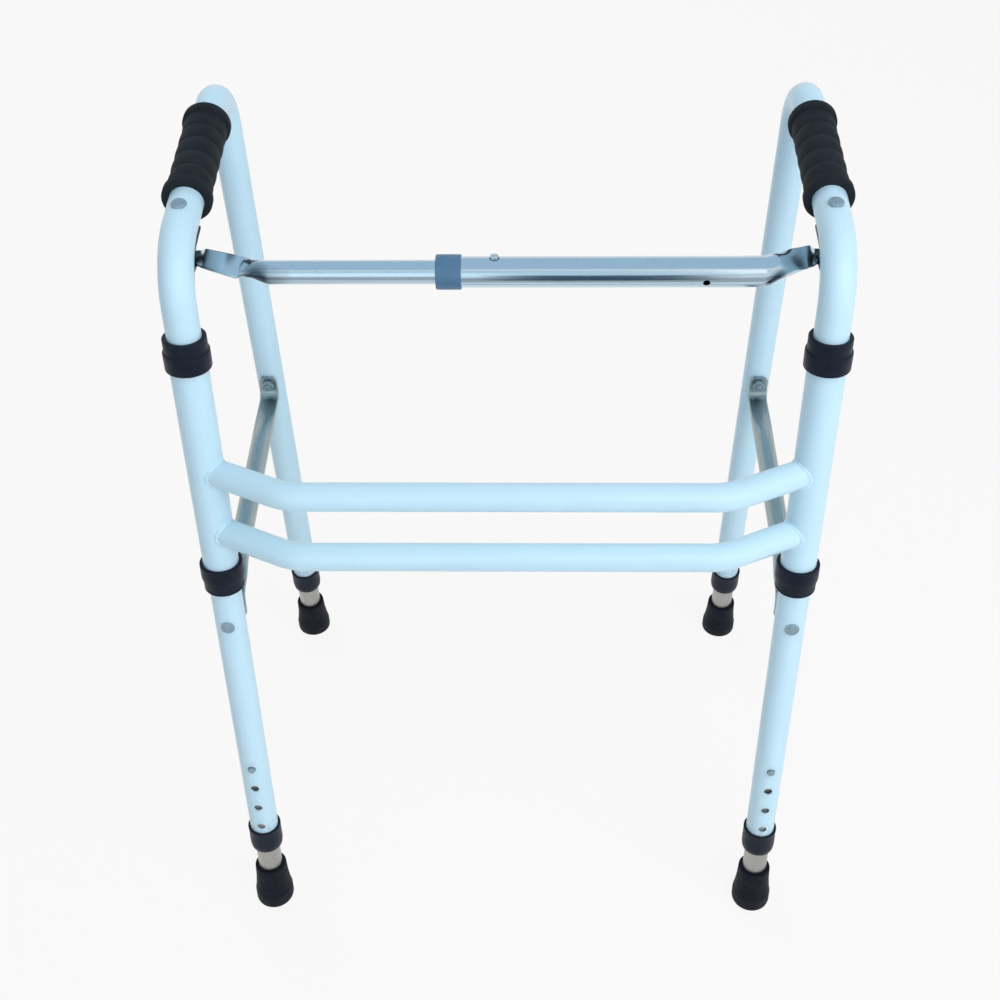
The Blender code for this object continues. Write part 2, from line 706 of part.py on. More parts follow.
def hex_nut(name, parent, matrix):
    """Hexagon nut with its seat at the origin, growing along Z."""
    bore = BOLT_R + GAP
    turn = Matrix.Rotation(math.radians(15.0), 3, "Z")
    rings = [hex_ring(0.0), hex_ring(NUT_THICK)]
    for height in (NUT_THICK, 0.0):
        rings.append([turn @ point for point in ring(Z_AXIS * height, X_AXIS, Y_AXIS, bore, bore, 12)])
    return finish(name, loft(rings, closed=True), zinc_steel(), parent, matrix)


def brace(name, axis):
    """Chromed tube between the legs, with both ends pressed flat and bent to lie on them."""
    rear_up = rear_direction()
    rear_normal = Vector((0, rear_up.z, -rear_up.y))
    front_face = Vector((0, TUBE_R + GAP + BRACE_TAB_THICK / 2, BRACE_FRONT_HEIGHT))
    rear_point = rear_foot() + rear_up * BRACE_REAR_HEIGHT
    rear_face = rear_point - rear_normal * (TUBE_R + GAP + BRACE_TAB_THICK / 2)
    tab = BRACE_TAB
    corners = [front_face - Z_AXIS * tab * 0.45, front_face + Z_AXIS * tab * 0.62,
               rear_face - rear_up * tab * 0.62, rear_face + rear_up * tab * 0.45]
    stations = bent_path(corners, [0.010, 0.010], 3)
    half = len(stations) // 2
    start, direction = stations[half - 1]
    run = stations[half][0] - start
    flat = (BRACE_TAB_W / 2, BRACE_TAB_THICK / 2)
    sections = [(point, way, flat) for point, way in stations[:half]]
    for share, wide, thick in BRACE_SECTIONS:
        sections.append((start + run * share, direction, (wide, thick)))
    sections += [(point, way, flat) for point, way in stations[half:]]
    rings = []
    for index, (point, way, (wide, thick)) in enumerate(sections):
        if index in (0, len(sections) - 1):
            wide *= 0.55
        rings.append(ring(point, X_AXIS, way.cross(X_AXIS).normalized(), wide, thick, BRACE_SEGMENTS))
    obj = finish(name + "_side_brace", loft(rings), chrome(), axis)
    for leg, matrix, _ in legs():
        drill(obj, brace_bolt_guide(name + "_brace", leg, matrix, axis))
    return obj


def side_fasteners(name, axis):
    for leg, matrix, facing in legs():
        height = BRACE_FRONT_HEIGHT if leg == "front" else BRACE_REAR_HEIGHT
        out = Vector((0, facing, 0))
        seat = Vector((0, facing * (TUBE_R + GAP), height))
        stack = 2 * TUBE_R + 2 * GAP + BRACE_TAB_THICK + GAP
        length = stack + NUT_THICK + GAP + BOLT_END
        dome_bolt(f"{name}_{leg}_brace_bolt", axis, matrix @ look_along(seat, out), length)
        nut_at = seat - out * (stack + GAP)
        hex_nut(f"{name}_{leg}_brace_nut", axis, matrix @ look_along(nut_at, -out))
    point, inward = bracket_bolt_pose()
    seat = point - inward * (TUBE_R + GAP)
    stack = 2 * TUBE_R + 2 * GAP + BRACKET_THICK + GAP
    dome_bolt(name + "_bracket_bolt", axis, look_along(seat, -inward), stack + NUT_THICK + GAP + BOLT_END)
    hex_nut(name + "_bracket_nut", axis, look_along(seat + inward * (stack + GAP), inward))
    half = BRACKET_LUG_GAP / 2 + BRACKET_THICK + GAP
    profile = [(PIVOT_R * 0.8, -half - 0.0022), (PIVOT_R * 1.7, -half - 0.0013), (PIVOT_R * 1.8, -half),
               (PIVOT_R, -half), (PIVOT_R, half + 0.0004), (PIVOT_R * 0.8, half + 0.0008)]
    at = Matrix.Translation((0, BAR_PIVOT_BACK, BAR_HEIGHT))
    finish(name + "_crossbar_pivot_pin", turned_solid(profile, SMALL_SEGMENTS), zinc_steel(), axis, at)


def ferrule(name, leg, matrix, axis):
    """Plastic end bush: a cup over the cut end of the leg that guides the sliding tube."""
    over = TUBE_R + GAP
    bore = LEG_R + GAP
    seat = TUBE_END - GAP
    profile = [
        (bore, FERRULE_BOTTOM), (FERRULE_R - 0.0014, FERRULE_BOTTOM), (FERRULE_R, FERRULE_BOTTOM + 0.0016),
        (FERRULE_R, FERRULE_TOP - 0.0010), (FERRULE_R - 0.0008, FERRULE_TOP), (over, FERRULE_TOP),
        (over, seat), (bore, seat),
    ]
    return finish(f"{name}_{leg}_ferrule", turned(profile, TUBE_SEGMENTS), black_plastic(), axis, matrix)


def leg_extension(name, leg, facing, slide):
    """Sliding inner tube with its hole for the snap button; open at both ends."""
    stations = [(Z_AXIS * height, Z_AXIS) for height in (LEG_BOTTOM, LEG_TOP)]
    tube = swept_tube(stations, X_AXIS, LEG_R, LEG_BORE_R)
    obj = finish(f"{name}_{leg}_leg_extension", tube, aluminium(), slide)
    at = look_along(Vector((0, facing * LEG_R, HOLE_TOP)), Y_AXIS)
    drill(obj, rod(f"{name}_{leg}_extension_hole_guide", HOLE_R, 0.010, at, slide))
    return obj


def rubber_tip(name, leg, slide, floor):
    """Flared rubber foot over the sliding tube, with its sole and recess parallel to the floor."""
    over = LEG_R + GAP
    rings = []
    for radius, lift in ((0.0070, 0.0025), (0.0070, 0.0), (TIP_R, 0.0)):
        flat = ring(Vector(), X_AXIS, Y_AXIS, radius, radius, TUBE_SEGMENTS)
        slope = [-(point.x * floor.x + point.y * floor.y) / floor.z for point in flat]
        rings.append([point + Z_AXIS * (lift + rise) for point, rise in zip(flat, slope)])
    heights = [(0.0055, TIP_R + 0.0004), (0.0150, TIP_R + 0.0001), (0.0300, 0.0153),
               (TIP_TOP - 0.0015, over + 0.0036), (TIP_TOP, over + 0.0030), (TIP_TOP, over),
               (LEG_BOTTOM - GAP, over)]
    for height, radius in heights:
        rings.append(ring(Z_AXIS * height, X_AXIS, Y_AXIS, radius, radius, TUBE_SEGMENTS))
    return finish(f"{name}_{leg}_rubber_tip", loft(rings), black_rubber(), slide)


def build_side(name, side):
    axis = empty(name + "_fold_axis", leg_axis_matrix(side))
    side_frame(name, axis)
    hand_grip(name, axis)
    brace(name, axis)
    bracket(name, axis)
    side_fasteners(name, axis)
    for leg, matrix, facing in legs():
        ferrule(name, leg, matrix, axis)
        slide = empty(f"{name}_{leg}_slide_axis", matrix, axis)
        leg_extension(name, leg, facing, slide)
        floor = (leg_axis_matrix(side) @ matrix).to_3x3().transposed() @ Z_AXIS
        rubber_tip(name, leg, slide, floor)
        at = look_along(Z_AXIS * HOLE_TOP, Y_AXIS * facing, Z_AXIS)
        snap_button(f"{name}_{leg}_snap_button", at, TUBE_R, LEG_BORE_R, zinc_steel(), slide)


def build_panel():
    panel = empty("front_panel_frame", panel_matrix())
    for name, side in SIDES.items():
        sleeve(name, side, panel)
        for end in ("upper", "lower"):
            collar(name, side, end, panel)
    for end in CROSSBAR_HEIGHTS:
        crossbar(end, panel)
    telescopic_crossbar(panel)


def main():
    clear_scene()
    build_panel()
    for name, side in SIDES.items():
        build_side(name, side)


main()
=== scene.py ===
"""Looks of a folding walking frame: the fine surface of every piece, its finish, the studio and the camera.

All sizes are in metres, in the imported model's frame. Each fine piece stands for one solid of that model
and is made where the solid is: a side frame's pieces in their front leg's frame, with Z up the leg and Y
to the rear, and the front panel's pieces in the panel's frame, with X across and Z up the front legs.
"""
import math

import bmesh
import bpy
import numpy as np
from mathutils import Matrix, Vector

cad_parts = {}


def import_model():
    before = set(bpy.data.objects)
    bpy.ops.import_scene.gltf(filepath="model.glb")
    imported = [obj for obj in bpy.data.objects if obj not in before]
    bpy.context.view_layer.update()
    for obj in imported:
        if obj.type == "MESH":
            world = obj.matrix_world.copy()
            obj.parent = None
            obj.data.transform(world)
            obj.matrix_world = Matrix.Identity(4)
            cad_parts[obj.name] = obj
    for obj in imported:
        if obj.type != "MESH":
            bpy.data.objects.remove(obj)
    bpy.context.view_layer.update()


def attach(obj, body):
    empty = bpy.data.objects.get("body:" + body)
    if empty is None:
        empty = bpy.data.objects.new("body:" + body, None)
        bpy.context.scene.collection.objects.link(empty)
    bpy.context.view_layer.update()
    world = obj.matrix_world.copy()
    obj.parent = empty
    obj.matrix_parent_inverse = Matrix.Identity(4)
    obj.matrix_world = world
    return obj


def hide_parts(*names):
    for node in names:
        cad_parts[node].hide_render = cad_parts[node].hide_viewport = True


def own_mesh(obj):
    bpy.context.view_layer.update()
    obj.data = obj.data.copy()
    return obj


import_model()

# Stance
LEG_SPACING = 0.462
FOOT_DEPTH = 0.358
LEG_LEAN = math.radians(5.4)
TOE_OUT = math.radians(0.5)

# Side frame
TUBE_R = 0.0127
TUBE_BORE_R = 0.0115
TUBE_END = 0.079
HANDLE_CORNER = 0.683
HANDLE_RISE = math.radians(5.5)
FRONT_BEND_R = 0.045
REAR_BEND_R = 0.038

# Hand grip
GRIP_FROM = 0.0675
GRIP_LENGTH = 0.1035
GRIP_R = 0.0167
GRIP_FLANGE_R = 0.0185
GRIP_FLANGE = 0.008
GRIP_GROOVE = 0.0012
GRIP_RIBS = 5
GRIP_ROUNDING = 0.0022
GRIP_SWELL = 0.55          # below 1 the ribs are fuller

# Front panel
SLEEVE_R = 0.0143
SLEEVE_BORE_R = 0.0131
SLEEVE_FROM = 0.4025
SLEEVE_TO = 0.611
COLLAR_SKIRT_R = 0.0172
COLLAR_NECK_R = 0.0161
COLLAR_SKIRT = 0.014
COLLAR_NECK = 0.0115
CROSSBAR_R = 0.0110
CROSSBAR_WALL = 0.0012
CROSSBAR_HEIGHTS = {"upper": 0.5055, "lower": 0.4485}
CROSSBAR_BULGE = 0.0355
CROSSBAR_STRAIGHT = 0.330
CROSSBAR_BEND_R = 0.045
WELD_BEAD_R = 0.0014
WELD_RIPPLE = 0.16
WELD_RIPPLES = 13
WELD_SHARP = 80.0

# Telescopic crossbar
BAR_HEIGHT = 0.6660
BAR_PIVOT_BACK = 0.034
BAR_MIDDLE_BACK = 0.0135
BAR_OUTER_R = 0.0109
BAR_OUTER_BORE_R = 0.0103
BAR_INNER_R = 0.0085
BAR_INNER_BORE_R = 0.0073
BAR_END_STRAIGHT = 0.012
BAR_STRAIGHT = 0.362
BAR_BEND_RADII = [0.012, 0.024]
BAR_TONGUE = 0.0030
BAR_TONGUE_W = 0.0170
BAR_TONGUE_NOSE = 0.0085
# The squashed end of each half, by the lug and by the crease: its reach to the front and to the rear,
# its rise above the bar's axis, and its lean to the front
BAR_PLATES = {"outer": ((0.0070, 0.0135, 0.0003, 0.38), (0.0090, 0.0130, 0.0012, 0.34)),
              "inner": ((0.0090, 0.0122, 0.0001, 0.21), (0.0132, 0.0104, 0.0024, 0.24))}
BAR_CREASES = {"outer": 0.0280, "inner": 0.0530}
BAR_ROUNDING = {"outer": 0.0360, "inner": 0.0220}
BAR_TOP_ROUNDING = 0.85    # the top is round after that share of it
BAR_CORNER = {"outer": 0.0300, "inner": 0.0080}
BAR_SETTLING = {"outer": 0.0, "inner": 0.0040}    # the underside fills out that much later
BAR_LUG_END = 0.0188       # from the nose, past the bracket's lugs
BAR_WIDE_FROM = 0.0146     # the plate widens between the lugs, as flat as the tongue
BAR_SHOULDER = 0.0016
BAR_JOGGLE = 0.0052
BAR_MOUTH_X = -0.047
BAR_INNER_END_X = 0.030
BAR_INNER_BORE_DEPTH = 0.080
BAR_BORE_STOP = 0.015
BAR_BUTTON_X = -0.008
BAR_COLLAR_R = 0.0123
BAR_COLLAR_LENGTH = 0.018
BAR_COLLAR_LIP = 0.0022
BAR_LOCK_HOLE_X = 0.140
BAR_LOCK_HOLE_R = 0.0026
BAR_LOCK_FACING = Vector((0, -1, -0.35))
BAR_HOLE_FLARE = 0.0003
BAR_NOSE_START = 0.0002    # the first section's distance from the nose
BAR_FINE_STEP = 0.0005     # between sections where the tube changes, and where it doesn't
BAR_LONG_STEP = 0.02
BAR_LIP = 0.0004
BAR_SHARP = 60.0

# Bracket that carries the bar's pivot
BRACKET_THICK = 0.0020
BRACKET_WIDTH = 0.0195
BRACKET_LUG_REACH = 0.0440
BRACKET_LUG_GAP = 0.0038
BRACKET_FROM = 0.6610
BRACKET_BOLT_FROM = 0.0465
BRACKET_TO = 0.0560
BRACKET_LUG_ROUND = 0.0090
BRACKET_EDGE = 0.00035
PIVOT_R = 0.0030

# Side brace
BRACE_TAB_THICK = 0.0030
BRACE_TAB_W = 0.0225
BRACE_R = 0.0088
BRACE_REAR_TAB_W = 0.0178
BRACE_HEIGHTS = {"front": 0.3555, "rear": 0.393}
BRACE_TAB_OUT = {"front": 0.0108, "rear": 0.00768}    # from a bolt to the tab's outer end
BRACE_TAB_IN = 0.01488     # from a bolt to the tab's bend
BRACE_CORNER = 0.0055
BRACE_BEND_R = 0.010
BRACE_FLAT = 0.02          # shares of the straight run: flat at both ends, and swelling to round
BRACE_SWELL = {"front": 0.15, "rear": 0.26}
BRACE_SHARP = 55.0

# Legs and feet
LEG_R = 0.0111
LEG_BORE_R = 0.0099
LEG_BOTTOM = 0.010
LEG_TOP = 0.235
TIP_TOP = 0.046
TIP_R = 0.0175
TREAD_FROM = 0.0148        # the sole's rings, from the outermost inwards
TREAD_TO = 0.0090
TREAD_PITCH = 0.0026
FERRULE_R = 0.0150
FERRULE_TOP = 0.102
FERRULE_BOTTOM = 0.0755
HOLE_TOP = 0.187
HOLE_PITCH = 0.0254
HOLE_COUNT = 4
HOLE_R = 0.0036

# Fasteners and buttons
BOLT_R = 0.0030
BOLT_HEAD_R = 0.0058
BOLT_HEAD = 0.0026
BOLT_END = 0.001
BOLT_CHAMFER = 0.0006
NUT_R = 0.0056
NUT_THICK = 0.0042
NUT_CHAMFER = math.radians(32.0)
NUT_SHARP = 28.0
BUTTON_R = 0.0031
BUTTON_PROUD = 0.0028
BAR_BUTTON_TRAVEL = 0.0039
CLIP_START = 0.0100        # the spring's leaves end that far behind the button, and its bend lies ahead
CLIP_BEND = 0.0248
CLIP_THICK = 0.0008
CLIP_WIDTH = 0.0060

# Rubbed places, and places of painted shade: how far up a leg they are, and how far they reach; the bar's are
# in the panel's frame. The inner legs' places and the bar's are painted shade
HOLE_WEAR = 0.00684
TUBE_WEAR_HEIGHT = 0.099
TUBE_WEAR = 0.026
LEG_PAINTED_SHADE_HEIGHTS = (0.160, 0.200)
LEG_PAINTED_SHADE = 0.060
SLEEVE_WEAR = 0.024
TIP_WEAR = 0.020
BAR_PAINTED_SHADE = {"outer": (((0.1890, 0.0075, 0.6610), 0.0110), ((0.2215, 0.0300, 0.6670), 0.0085)),
            "inner": (((-0.1750, 0.0055, 0.6640), 0.0150), ((-0.2215, 0.0300, 0.6670), 0.0085))}

# Clearances, drill lengths and fineness
GAP = 0.0003
HAIR = 0.0001              # keeps two faces apart that would lie in one place
NEAR_AXIS = 0.0004         # where the outline of a solid turned piece starts
WALL_DRILL = 0.012
TUBE_DRILL = 0.050
LUG_DRILL = 0.020
FLARE_REACH = 0.0012
BORE_SPARE = 0.010
FINE = 64                  # points round a tube
SMALL = 32                 # points round a bolt, a button or a hole
BEND_STEPS = 20
SHARP_EDGE = 38.0          # degrees between two faces, past which their edge is drawn sharp
SIDES = {"left": 1, "right": -1}

# Camera, from the photograph's vanishing lines: focal length and optical centre in pixels of its frame
IMAGE_SIZE = 1000
FOCAL = 1415.72
CENTRE_PX = (504.95, 504.12)
CAMERA_PLACE = Vector((0.018315, -0.951544, 1.205121))
CAMERA_RIGHT = Vector((0.9998215, 0.0151993, -0.0112188))
CAMERA_AHEAD = Vector((-0.0188039, 0.7436591, -0.6682945))
SENSOR = 36.0

# Studio colours; the room's are at heights from its floor line, 0, to straight up, 1
BACKGROUND = (0.930, 0.930, 0.930)
FLOOR_COLOUR = (0.80, 0.80, 0.80)
FLOOR_GLOW = (0.975, 0.968, 0.965)
FLOOR_GLOW_SHARE = 0.90
ROOM = [(0.0, (0.10, 0.12, 0.14)), (0.10, (0.16, 0.18, 0.20)), (0.25, (0.32, 0.36, 0.39)),
        (0.55, (0.40, 0.45, 0.49)), (1.0, (0.48, 0.53, 0.57))]
# Two corners and the colour of each card, and the place, size and watts of each lamp
CARDS = {
    "ceiling": ((-4.0, -1.6, 2.6), (4.0, 4.0, 2.6), (0.50, 0.66, 0.80)),
    "stand": ((-0.03, -1.05, 0.0), (0.26, -1.05, 0.77), (0.032, 0.070, 0.120)),
    "wall": ((-4.0, -3.2, 1.1), (4.0, -3.2, 3.4), (0.64, 0.80, 0.91)),
    "mat": ((-2.0, -2.6, 0.004), (2.0, -0.6, 0.004), (0.48, 0.53, 0.57)),
    "soft_box": ((0.45, -2.0, 1.2), (1.9, -2.0, 2.7), (1.3, 1.3, 1.3)),
    "window": ((-0.80, -1.6, 0.42), (-0.03, -1.6, 1.30), (1.05, 1.25, 1.35)),
}
LIGHTS = {"key": ((1.15, -1.75, 2.0), 2.6, 60.0), "back": ((-1.2, 1.9, 1.9), 2.2, 20.0)}
LIGHT_TARGET = (0.0, 0.0, 0.4)
FLOOR_R = 14.0
FLOOR_GAP = 0.0004         # the floor lies that far below the feet

X_AXIS = Vector((1, 0, 0))
Y_AXIS = Vector((0, 1, 0))
Z_AXIS = Vector((0, 0, 1))


# Outlines and skins

def ring(centre, u, v, ru, rv, count, turn=0.5):
    """Points round an ellipse; turn sets them on by a share of the step between two."""
    points = []
    for step in range(count):
        angle = 2.0 * math.pi * (step + turn) / count
        points.append(centre + u * (ru * math.cos(angle)) + v * (rv * math.sin(angle)))
    return points


def level_ring(radius, height, count, turn=0.5):
    return ring(Z_AXIS * height, X_AXIS, Y_AXIS, radius, radius, count, turn)


def stadium(centre, direction, normal, half_width, half_thick, square):
    """A section between an ellipse (square 0) and a flat bar with round edges (square 1)."""
    across = direction.cross(normal).normalized()
    points = []
    for step in range(FINE):
        angle = 2.0 * math.pi * (step + 0.5) / FINE
        rise = math.cos(angle)
        run = math.sin(angle)
        flat = max(-1.0, min(1.0, rise * 2.4))
        wide = run * (1 - half_thick / half_width * square * (1 - abs(run)) * 0.5)
        high = rise + (flat - rise) * square
        points.append(centre + normal * (half_width * wide) + across * (half_thick * high))
    return points


def loft(rings, closed=False):
    """Skin rings of equal length; closed joins the last ring to the first, or else caps are made."""
    bm = bmesh.new()
    loops = [[bm.verts.new(point) for point in points] for points in rings]
    pairs = list(zip(loops, loops[1:]))
    if closed:
        pairs.append((loops[-1], loops[0]))
    for low, high in pairs:
        count = len(low)
        for index in range(count):
            after = (index + 1) % count
            bm.faces.new((low[index], low[after], high[after], high[index]))
    if not closed:
        bm.faces.new(list(reversed(loops[0])))
        bm.faces.new(loops[-1])
    return bm


def prism(outline, axis, width):
    """An outline drawn out to both sides along an axis, and the corners of its two ends."""
    bm = bmesh.new()
    ends = [[bm.verts.new(point + axis * (side * width / 2)) for point in outline] for side in (-1, 1)]
    bm.faces.new(ends[0])
    bm.faces.new(ends[1][::-1])
    count = len(outline)
    for index in range(count):
        after = (index + 1) % count
        bm.faces.new((ends[0][index], ends[1][index], ends[1][after], ends[0][after]))
    return bm, ends


def fillet(outline, closed=True, steps=5):
    """Points of an outline whose corners, given as (x, y, corner radius), are rounded."""
    rounded = []
    count = len(outline)
    for index, (x, y, radius) in enumerate(outline):
        here = Vector((x, y))
        if radius == 0 or (not closed and index in (0, count - 1)):
            rounded.append(here)
            continue
        before = Vector(outline[index - 1][:2]) - here
        after = Vector(outline[(index + 1) % count][:2]) - here
        half = before.angle(after) / 2
        reach = min(radius / math.tan(half), before.length * 0.48, after.length * 0.48)
        radius = reach * math.tan(half)
        centre = here + (before.normalized() + after.normalized()).normalized() * (radius / math.sin(half))
        start = here + before.normalized() * reach - centre
        end = here + after.normalized() * reach - centre
        for step in range(steps + 1):
            share = step / steps
            rounded.append(centre + (start * (1 - share) + end * share).normalized() * radius)
    return rounded


def turned(outline, count=FINE):
    """Revolve a closed outline of (radius, height, corner radius) points that stays off the Z axis."""
    return loft([level_ring(*point, count) for point in fillet(outline)], closed=True)


def turned_solid(outline, count=SMALL):
    """Revolve an open outline of (radius, height, corner radius) points and cap both of its ends."""
    return loft([level_ring(*point, count) for point in fillet(outline, closed=False)])


def look_along(origin, direction, side=X_AXIS):
    """Matrix whose Z runs along a direction and whose X stays near a side vector."""
    z = direction.normalized()
    if abs(z.dot(side)) > 0.9999:
        side = Z_AXIS
    x = (side - z * side.dot(z)).normalized()
    y = z.cross(x)
    return Matrix.Translation(origin) @ Matrix((x, y, z)).transposed().to_4x4()


def bent_path(corners, radii, steps=BEND_STEPS):
    """Stations (point, direction) along straight runs joined by arcs at the inner corners."""
    stations = [(corners[0], (corners[1] - corners[0]).normalized())]
    for index in range(1, len(corners) - 1):
        before = (corners[index] - corners[index - 1]).normalized()
        after = (corners[index + 1] - corners[index]).normalized()
        turn = before.angle(after)
        radius = radii[index - 1]
        start = corners[index] - before * (radius * math.tan(turn / 2))
        inward = (after - before * after.dot(before)).normalized()
        for step in range(steps + 1):
            angle = turn * step / steps
            point = start + before * (radius * math.sin(angle)) + inward * (radius * (1 - math.cos(angle)))
            stations.append((point, before * math.cos(angle) + inward * math.sin(angle)))
    stations.append((corners[-1], (corners[-1] - corners[-2]).normalized()))
    return stations


def station_at(stations, distance):
    """Point and direction at a distance along the stations."""
    left = distance
    for (point, direction), (after, after_direction) in zip(stations, stations[1:]):
        length = (after - point).length
        if left <= length:
            share = left / length
            return point.lerp(after, share), direction.lerp(after_direction, share).normalized()
        left -= length
    return stations[-1]


def stations_between(stations, low, high):
    """The stations between two distances, with one added at each of the distances."""
    chosen = [station_at(stations, low)]
    distance = 0.0
    for (point, _), (after, direction) in zip(stations, stations[1:]):
        distance += (after - point).length
        if low + 0.0005 < distance < high - 0.0005:
            chosen.append((after, direction))
    chosen.append(station_at(stations, high))
    return chosen


def swept_rings(stations, normal, radius):
    return [ring(point, normal, direction.cross(normal).normalized(), radius, radius, FINE)
            for point, direction in stations]


def denser(stations, spacing=0.008):
    """The stations with more of them along the straight runs."""
    full = [stations[0]]
    for (point, direction), (after, after_direction) in zip(stations, stations[1:]):
        extra = int((after - point).length / spacing)
        for step in range(1, extra):
            full.append((point.lerp(after, step / extra), direction))
        full.append((after, after_direction))
    return full


def swept_tube(stations, normal, radius, bore):
    """An open-ended tube with softly broken end edges."""
    lip = 0.0003
    start, start_way = stations[0]
    end, end_way = stations[-1]
    middle = denser(stations)[1:-1]
    inset = [(start + start_way * lip, start_way)] + middle + [(end - end_way * lip, end_way)]
    outer = swept_rings(stations[:1], normal, radius - lip) + swept_rings(inset, normal, radius)
    outer += swept_rings(stations[-1:], normal, radius - lip)
    return loft(outer + swept_rings(stations, normal, bore)[::-1], closed=True)


def line_meet(point_a, direction_a, point_b, direction_b):
    """Where two lines in the YZ plane meet."""
    cross = direction_a.y * direction_b.z - direction_a.z * direction_b.y
    offset = point_b - point_a
    return point_a + direction_a * ((offset.y * direction_b.z - offset.z * direction_b.y) / cross)


def smooth(share):
    share = max(0.0, min(1.0, share))
    return share * share * (3 - 2 * share)


# Frames of reference, and the lines that the tubes follow

def side_matrix(side):
    foot = Vector((side * LEG_SPACING / 2, -FOOT_DEPTH / 2, 0.0))
    lean = Matrix.Rotation(-LEG_LEAN, 4, "X")
    toe = Matrix.Rotation(-side * TOE_OUT, 4, "Z")
    return Matrix.Translation(foot) @ lean @ toe


def panel_matrix():
    return Matrix.Translation((0.0, -FOOT_DEPTH / 2, 0.0)) @ Matrix.Rotation(-LEG_LEAN, 4, "X")


def rear_foot():
    return Vector((0.0, FOOT_DEPTH * math.cos(LEG_LEAN) / math.cos(TOE_OUT), FOOT_DEPTH * math.sin(LEG_LEAN)))


def rear_direction():
    return Vector((0.0, -math.sin(2 * LEG_LEAN), math.cos(2 * LEG_LEAN)))


def side_stations():
    handle = Vector((0.0, math.cos(HANDLE_RISE + LEG_LEAN), math.sin(HANDLE_RISE + LEG_LEAN)))
    front = Vector((0.0, 0.0, HANDLE_CORNER))
    rear = line_meet(front, handle, rear_foot(), rear_direction())
    start = Vector((0.0, 0.0, TUBE_END))
    end = rear_foot() + rear_direction() * TUBE_END
    return bent_path([start, front, rear, end], [FRONT_BEND_R, REAR_BEND_R])


def legs():
    """Each leg's name, its frame inside the side frame, and the way its adjusting holes face."""
    return [("front", Matrix.Identity(4), -1), ("rear", look_along(rear_foot(), rear_direction()), 1)]


def handle_distance(along):
    """Distance along the side frame's stations of a place on the handle, from the front corner."""
    turn = math.pi / 2 - HANDLE_RISE - LEG_LEAN
    stations = side_stations()
    arc = 2 * FRONT_BEND_R * math.sin(turn / BEND_STEPS / 2) * BEND_STEPS
    return stations[1][0].z - TUBE_END + arc - FRONT_BEND_R * math.tan(turn / 2) + along


# Making a piece

def solid(name, bm, matrix):
    """A mesh object placed in the model's frame."""
    bmesh.ops.recalc_face_normals(bm, faces=bm.faces)
    mesh = bpy.data.meshes.new(name)
    bm.to_mesh(mesh)
    bm.free()
    mesh.transform(matrix)
    obj = bpy.data.objects.new(name, mesh)
    bpy.context.scene.collection.objects.link(obj)
    return obj


def join_into(whole, part, matrix):
    """Add a part's faces, placed by a matrix, to a whole, and free the part."""
    mesh = bpy.data.meshes.new("part")
    part.to_mesh(mesh)
    part.free()
    mesh.transform(matrix)
    whole.from_mesh(mesh)
    bpy.data.meshes.remove(mesh)


def apply_modifiers(obj):
    graph = bpy.context.evaluated_depsgraph_get()
    graph.update()
    old = obj.data
    obj.data = bpy.data.meshes.new_from_object(obj.evaluated_get(graph))
    obj.modifiers.clear()
    bpy.data.meshes.remove(old)


def carve(obj, cutters):
    """Cut bodies out of an object; each cutter is a bmesh and its matrix, clear of the other cutters."""
    joined = bmesh.new()
    for bm, matrix in cutters:
        bmesh.ops.recalc_face_normals(bm, faces=bm.faces)
        join_into(joined, bm, matrix)
    tool = solid("cutter", joined, Matrix.Identity(4))
    cut = obj.modifiers.new("cut", "BOOLEAN")
    cut.operation = "DIFFERENCE"
    cut.solver = "EXACT"
    cut.object = tool
    apply_modifiers(obj)
    bpy.data.objects.remove(tool, do_unlink=True)


def drill_bit(radius, length, flare=0.0004):
    """A drill along Z whose middle is at the surface, and which flares a little from there on."""
    top = length / 2
    wide = radius + flare
    return turned_solid([(radius, -top, 0), (radius, 0.0, 0), (wide, FLARE_REACH, 0), (wide, top, 0)])


def mark(mesh, name, kind, key, values):
    """Store a value for each point of a mesh, which the finishes read."""
    attribute = mesh.attributes.new(name, kind, "POINT")
    attribute.data.foreach_set(key, values.astype(np.float32).ravel())


def finish_piece(obj, look, body, nodes, grain, wear_and_shade=(), sharp=SHARP_EDGE):
    """Shade, mark and dress a piece, hide the imported solids that it stands for, and attach it to the body
    that it moves with.

    The grain attribute holds each point's place in the piece's own frame, with Z along the piece, and
    the wear_and_shade attribute is 1 at the worn places and at the places of painted shade, given as
    (point, reach), and 0 away from them.
    """
    mesh = obj.data
    mesh.shade_smooth()
    mesh.set_sharp_from_angle(angle=math.radians(sharp))
    places = np.zeros(len(mesh.vertices) * 3, np.float32)
    mesh.vertices.foreach_get("co", places)
    places = places.reshape(-1, 3)
    turn = np.array(grain.inverted())
    mark(mesh, "grain", "FLOAT_VECTOR", "vector", places @ turn[:3, :3].T + turn[:3, 3])
    worn_and_shaded = np.zeros(len(places), np.float32)
    for point, reach in wear_and_shade:
        away = np.linalg.norm(places - np.array(point), axis=1)
        worn_and_shaded = np.maximum(worn_and_shaded, np.clip(1.0 - away / reach, 0.0, 1.0))
    mark(mesh, "wear_and_shade", "FLOAT", "value", worn_and_shaded)
    mesh.materials.clear()
    mesh.materials.append(look["material"])
    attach(obj, body)
    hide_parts(*nodes)


def make_piece(name, bm, place, look, body, nodes, wear_and_shade=(), sharp=SHARP_EDGE):
    """A piece that needs no carving, whose grain lies in its own frame."""
    obj = solid(name, bm, place)
    finish_piece(obj, look, body, nodes, place, wear_and_shade, sharp)
    return obj


# Shader nodes

def fill_inputs(tree, node, values):
    """Give a node's inputs their values, each a constant or the output of another node."""
    for name, value in values.items():
        if isinstance(value, bpy.types.NodeSocket):
            tree.links.new(value, node.inputs[name])
        else:
            node.inputs[name].default_value = value


def add_node(tree, kind, values):
    node = tree.nodes.new("ShaderNode" + kind)
    fill_inputs(tree, node, values)
    return node


def combine(tree, operation, first, second):
    node = add_node(tree, "Math", {0: first, 1: second})
    node.operation = operation
    return node.outputs["Value"]


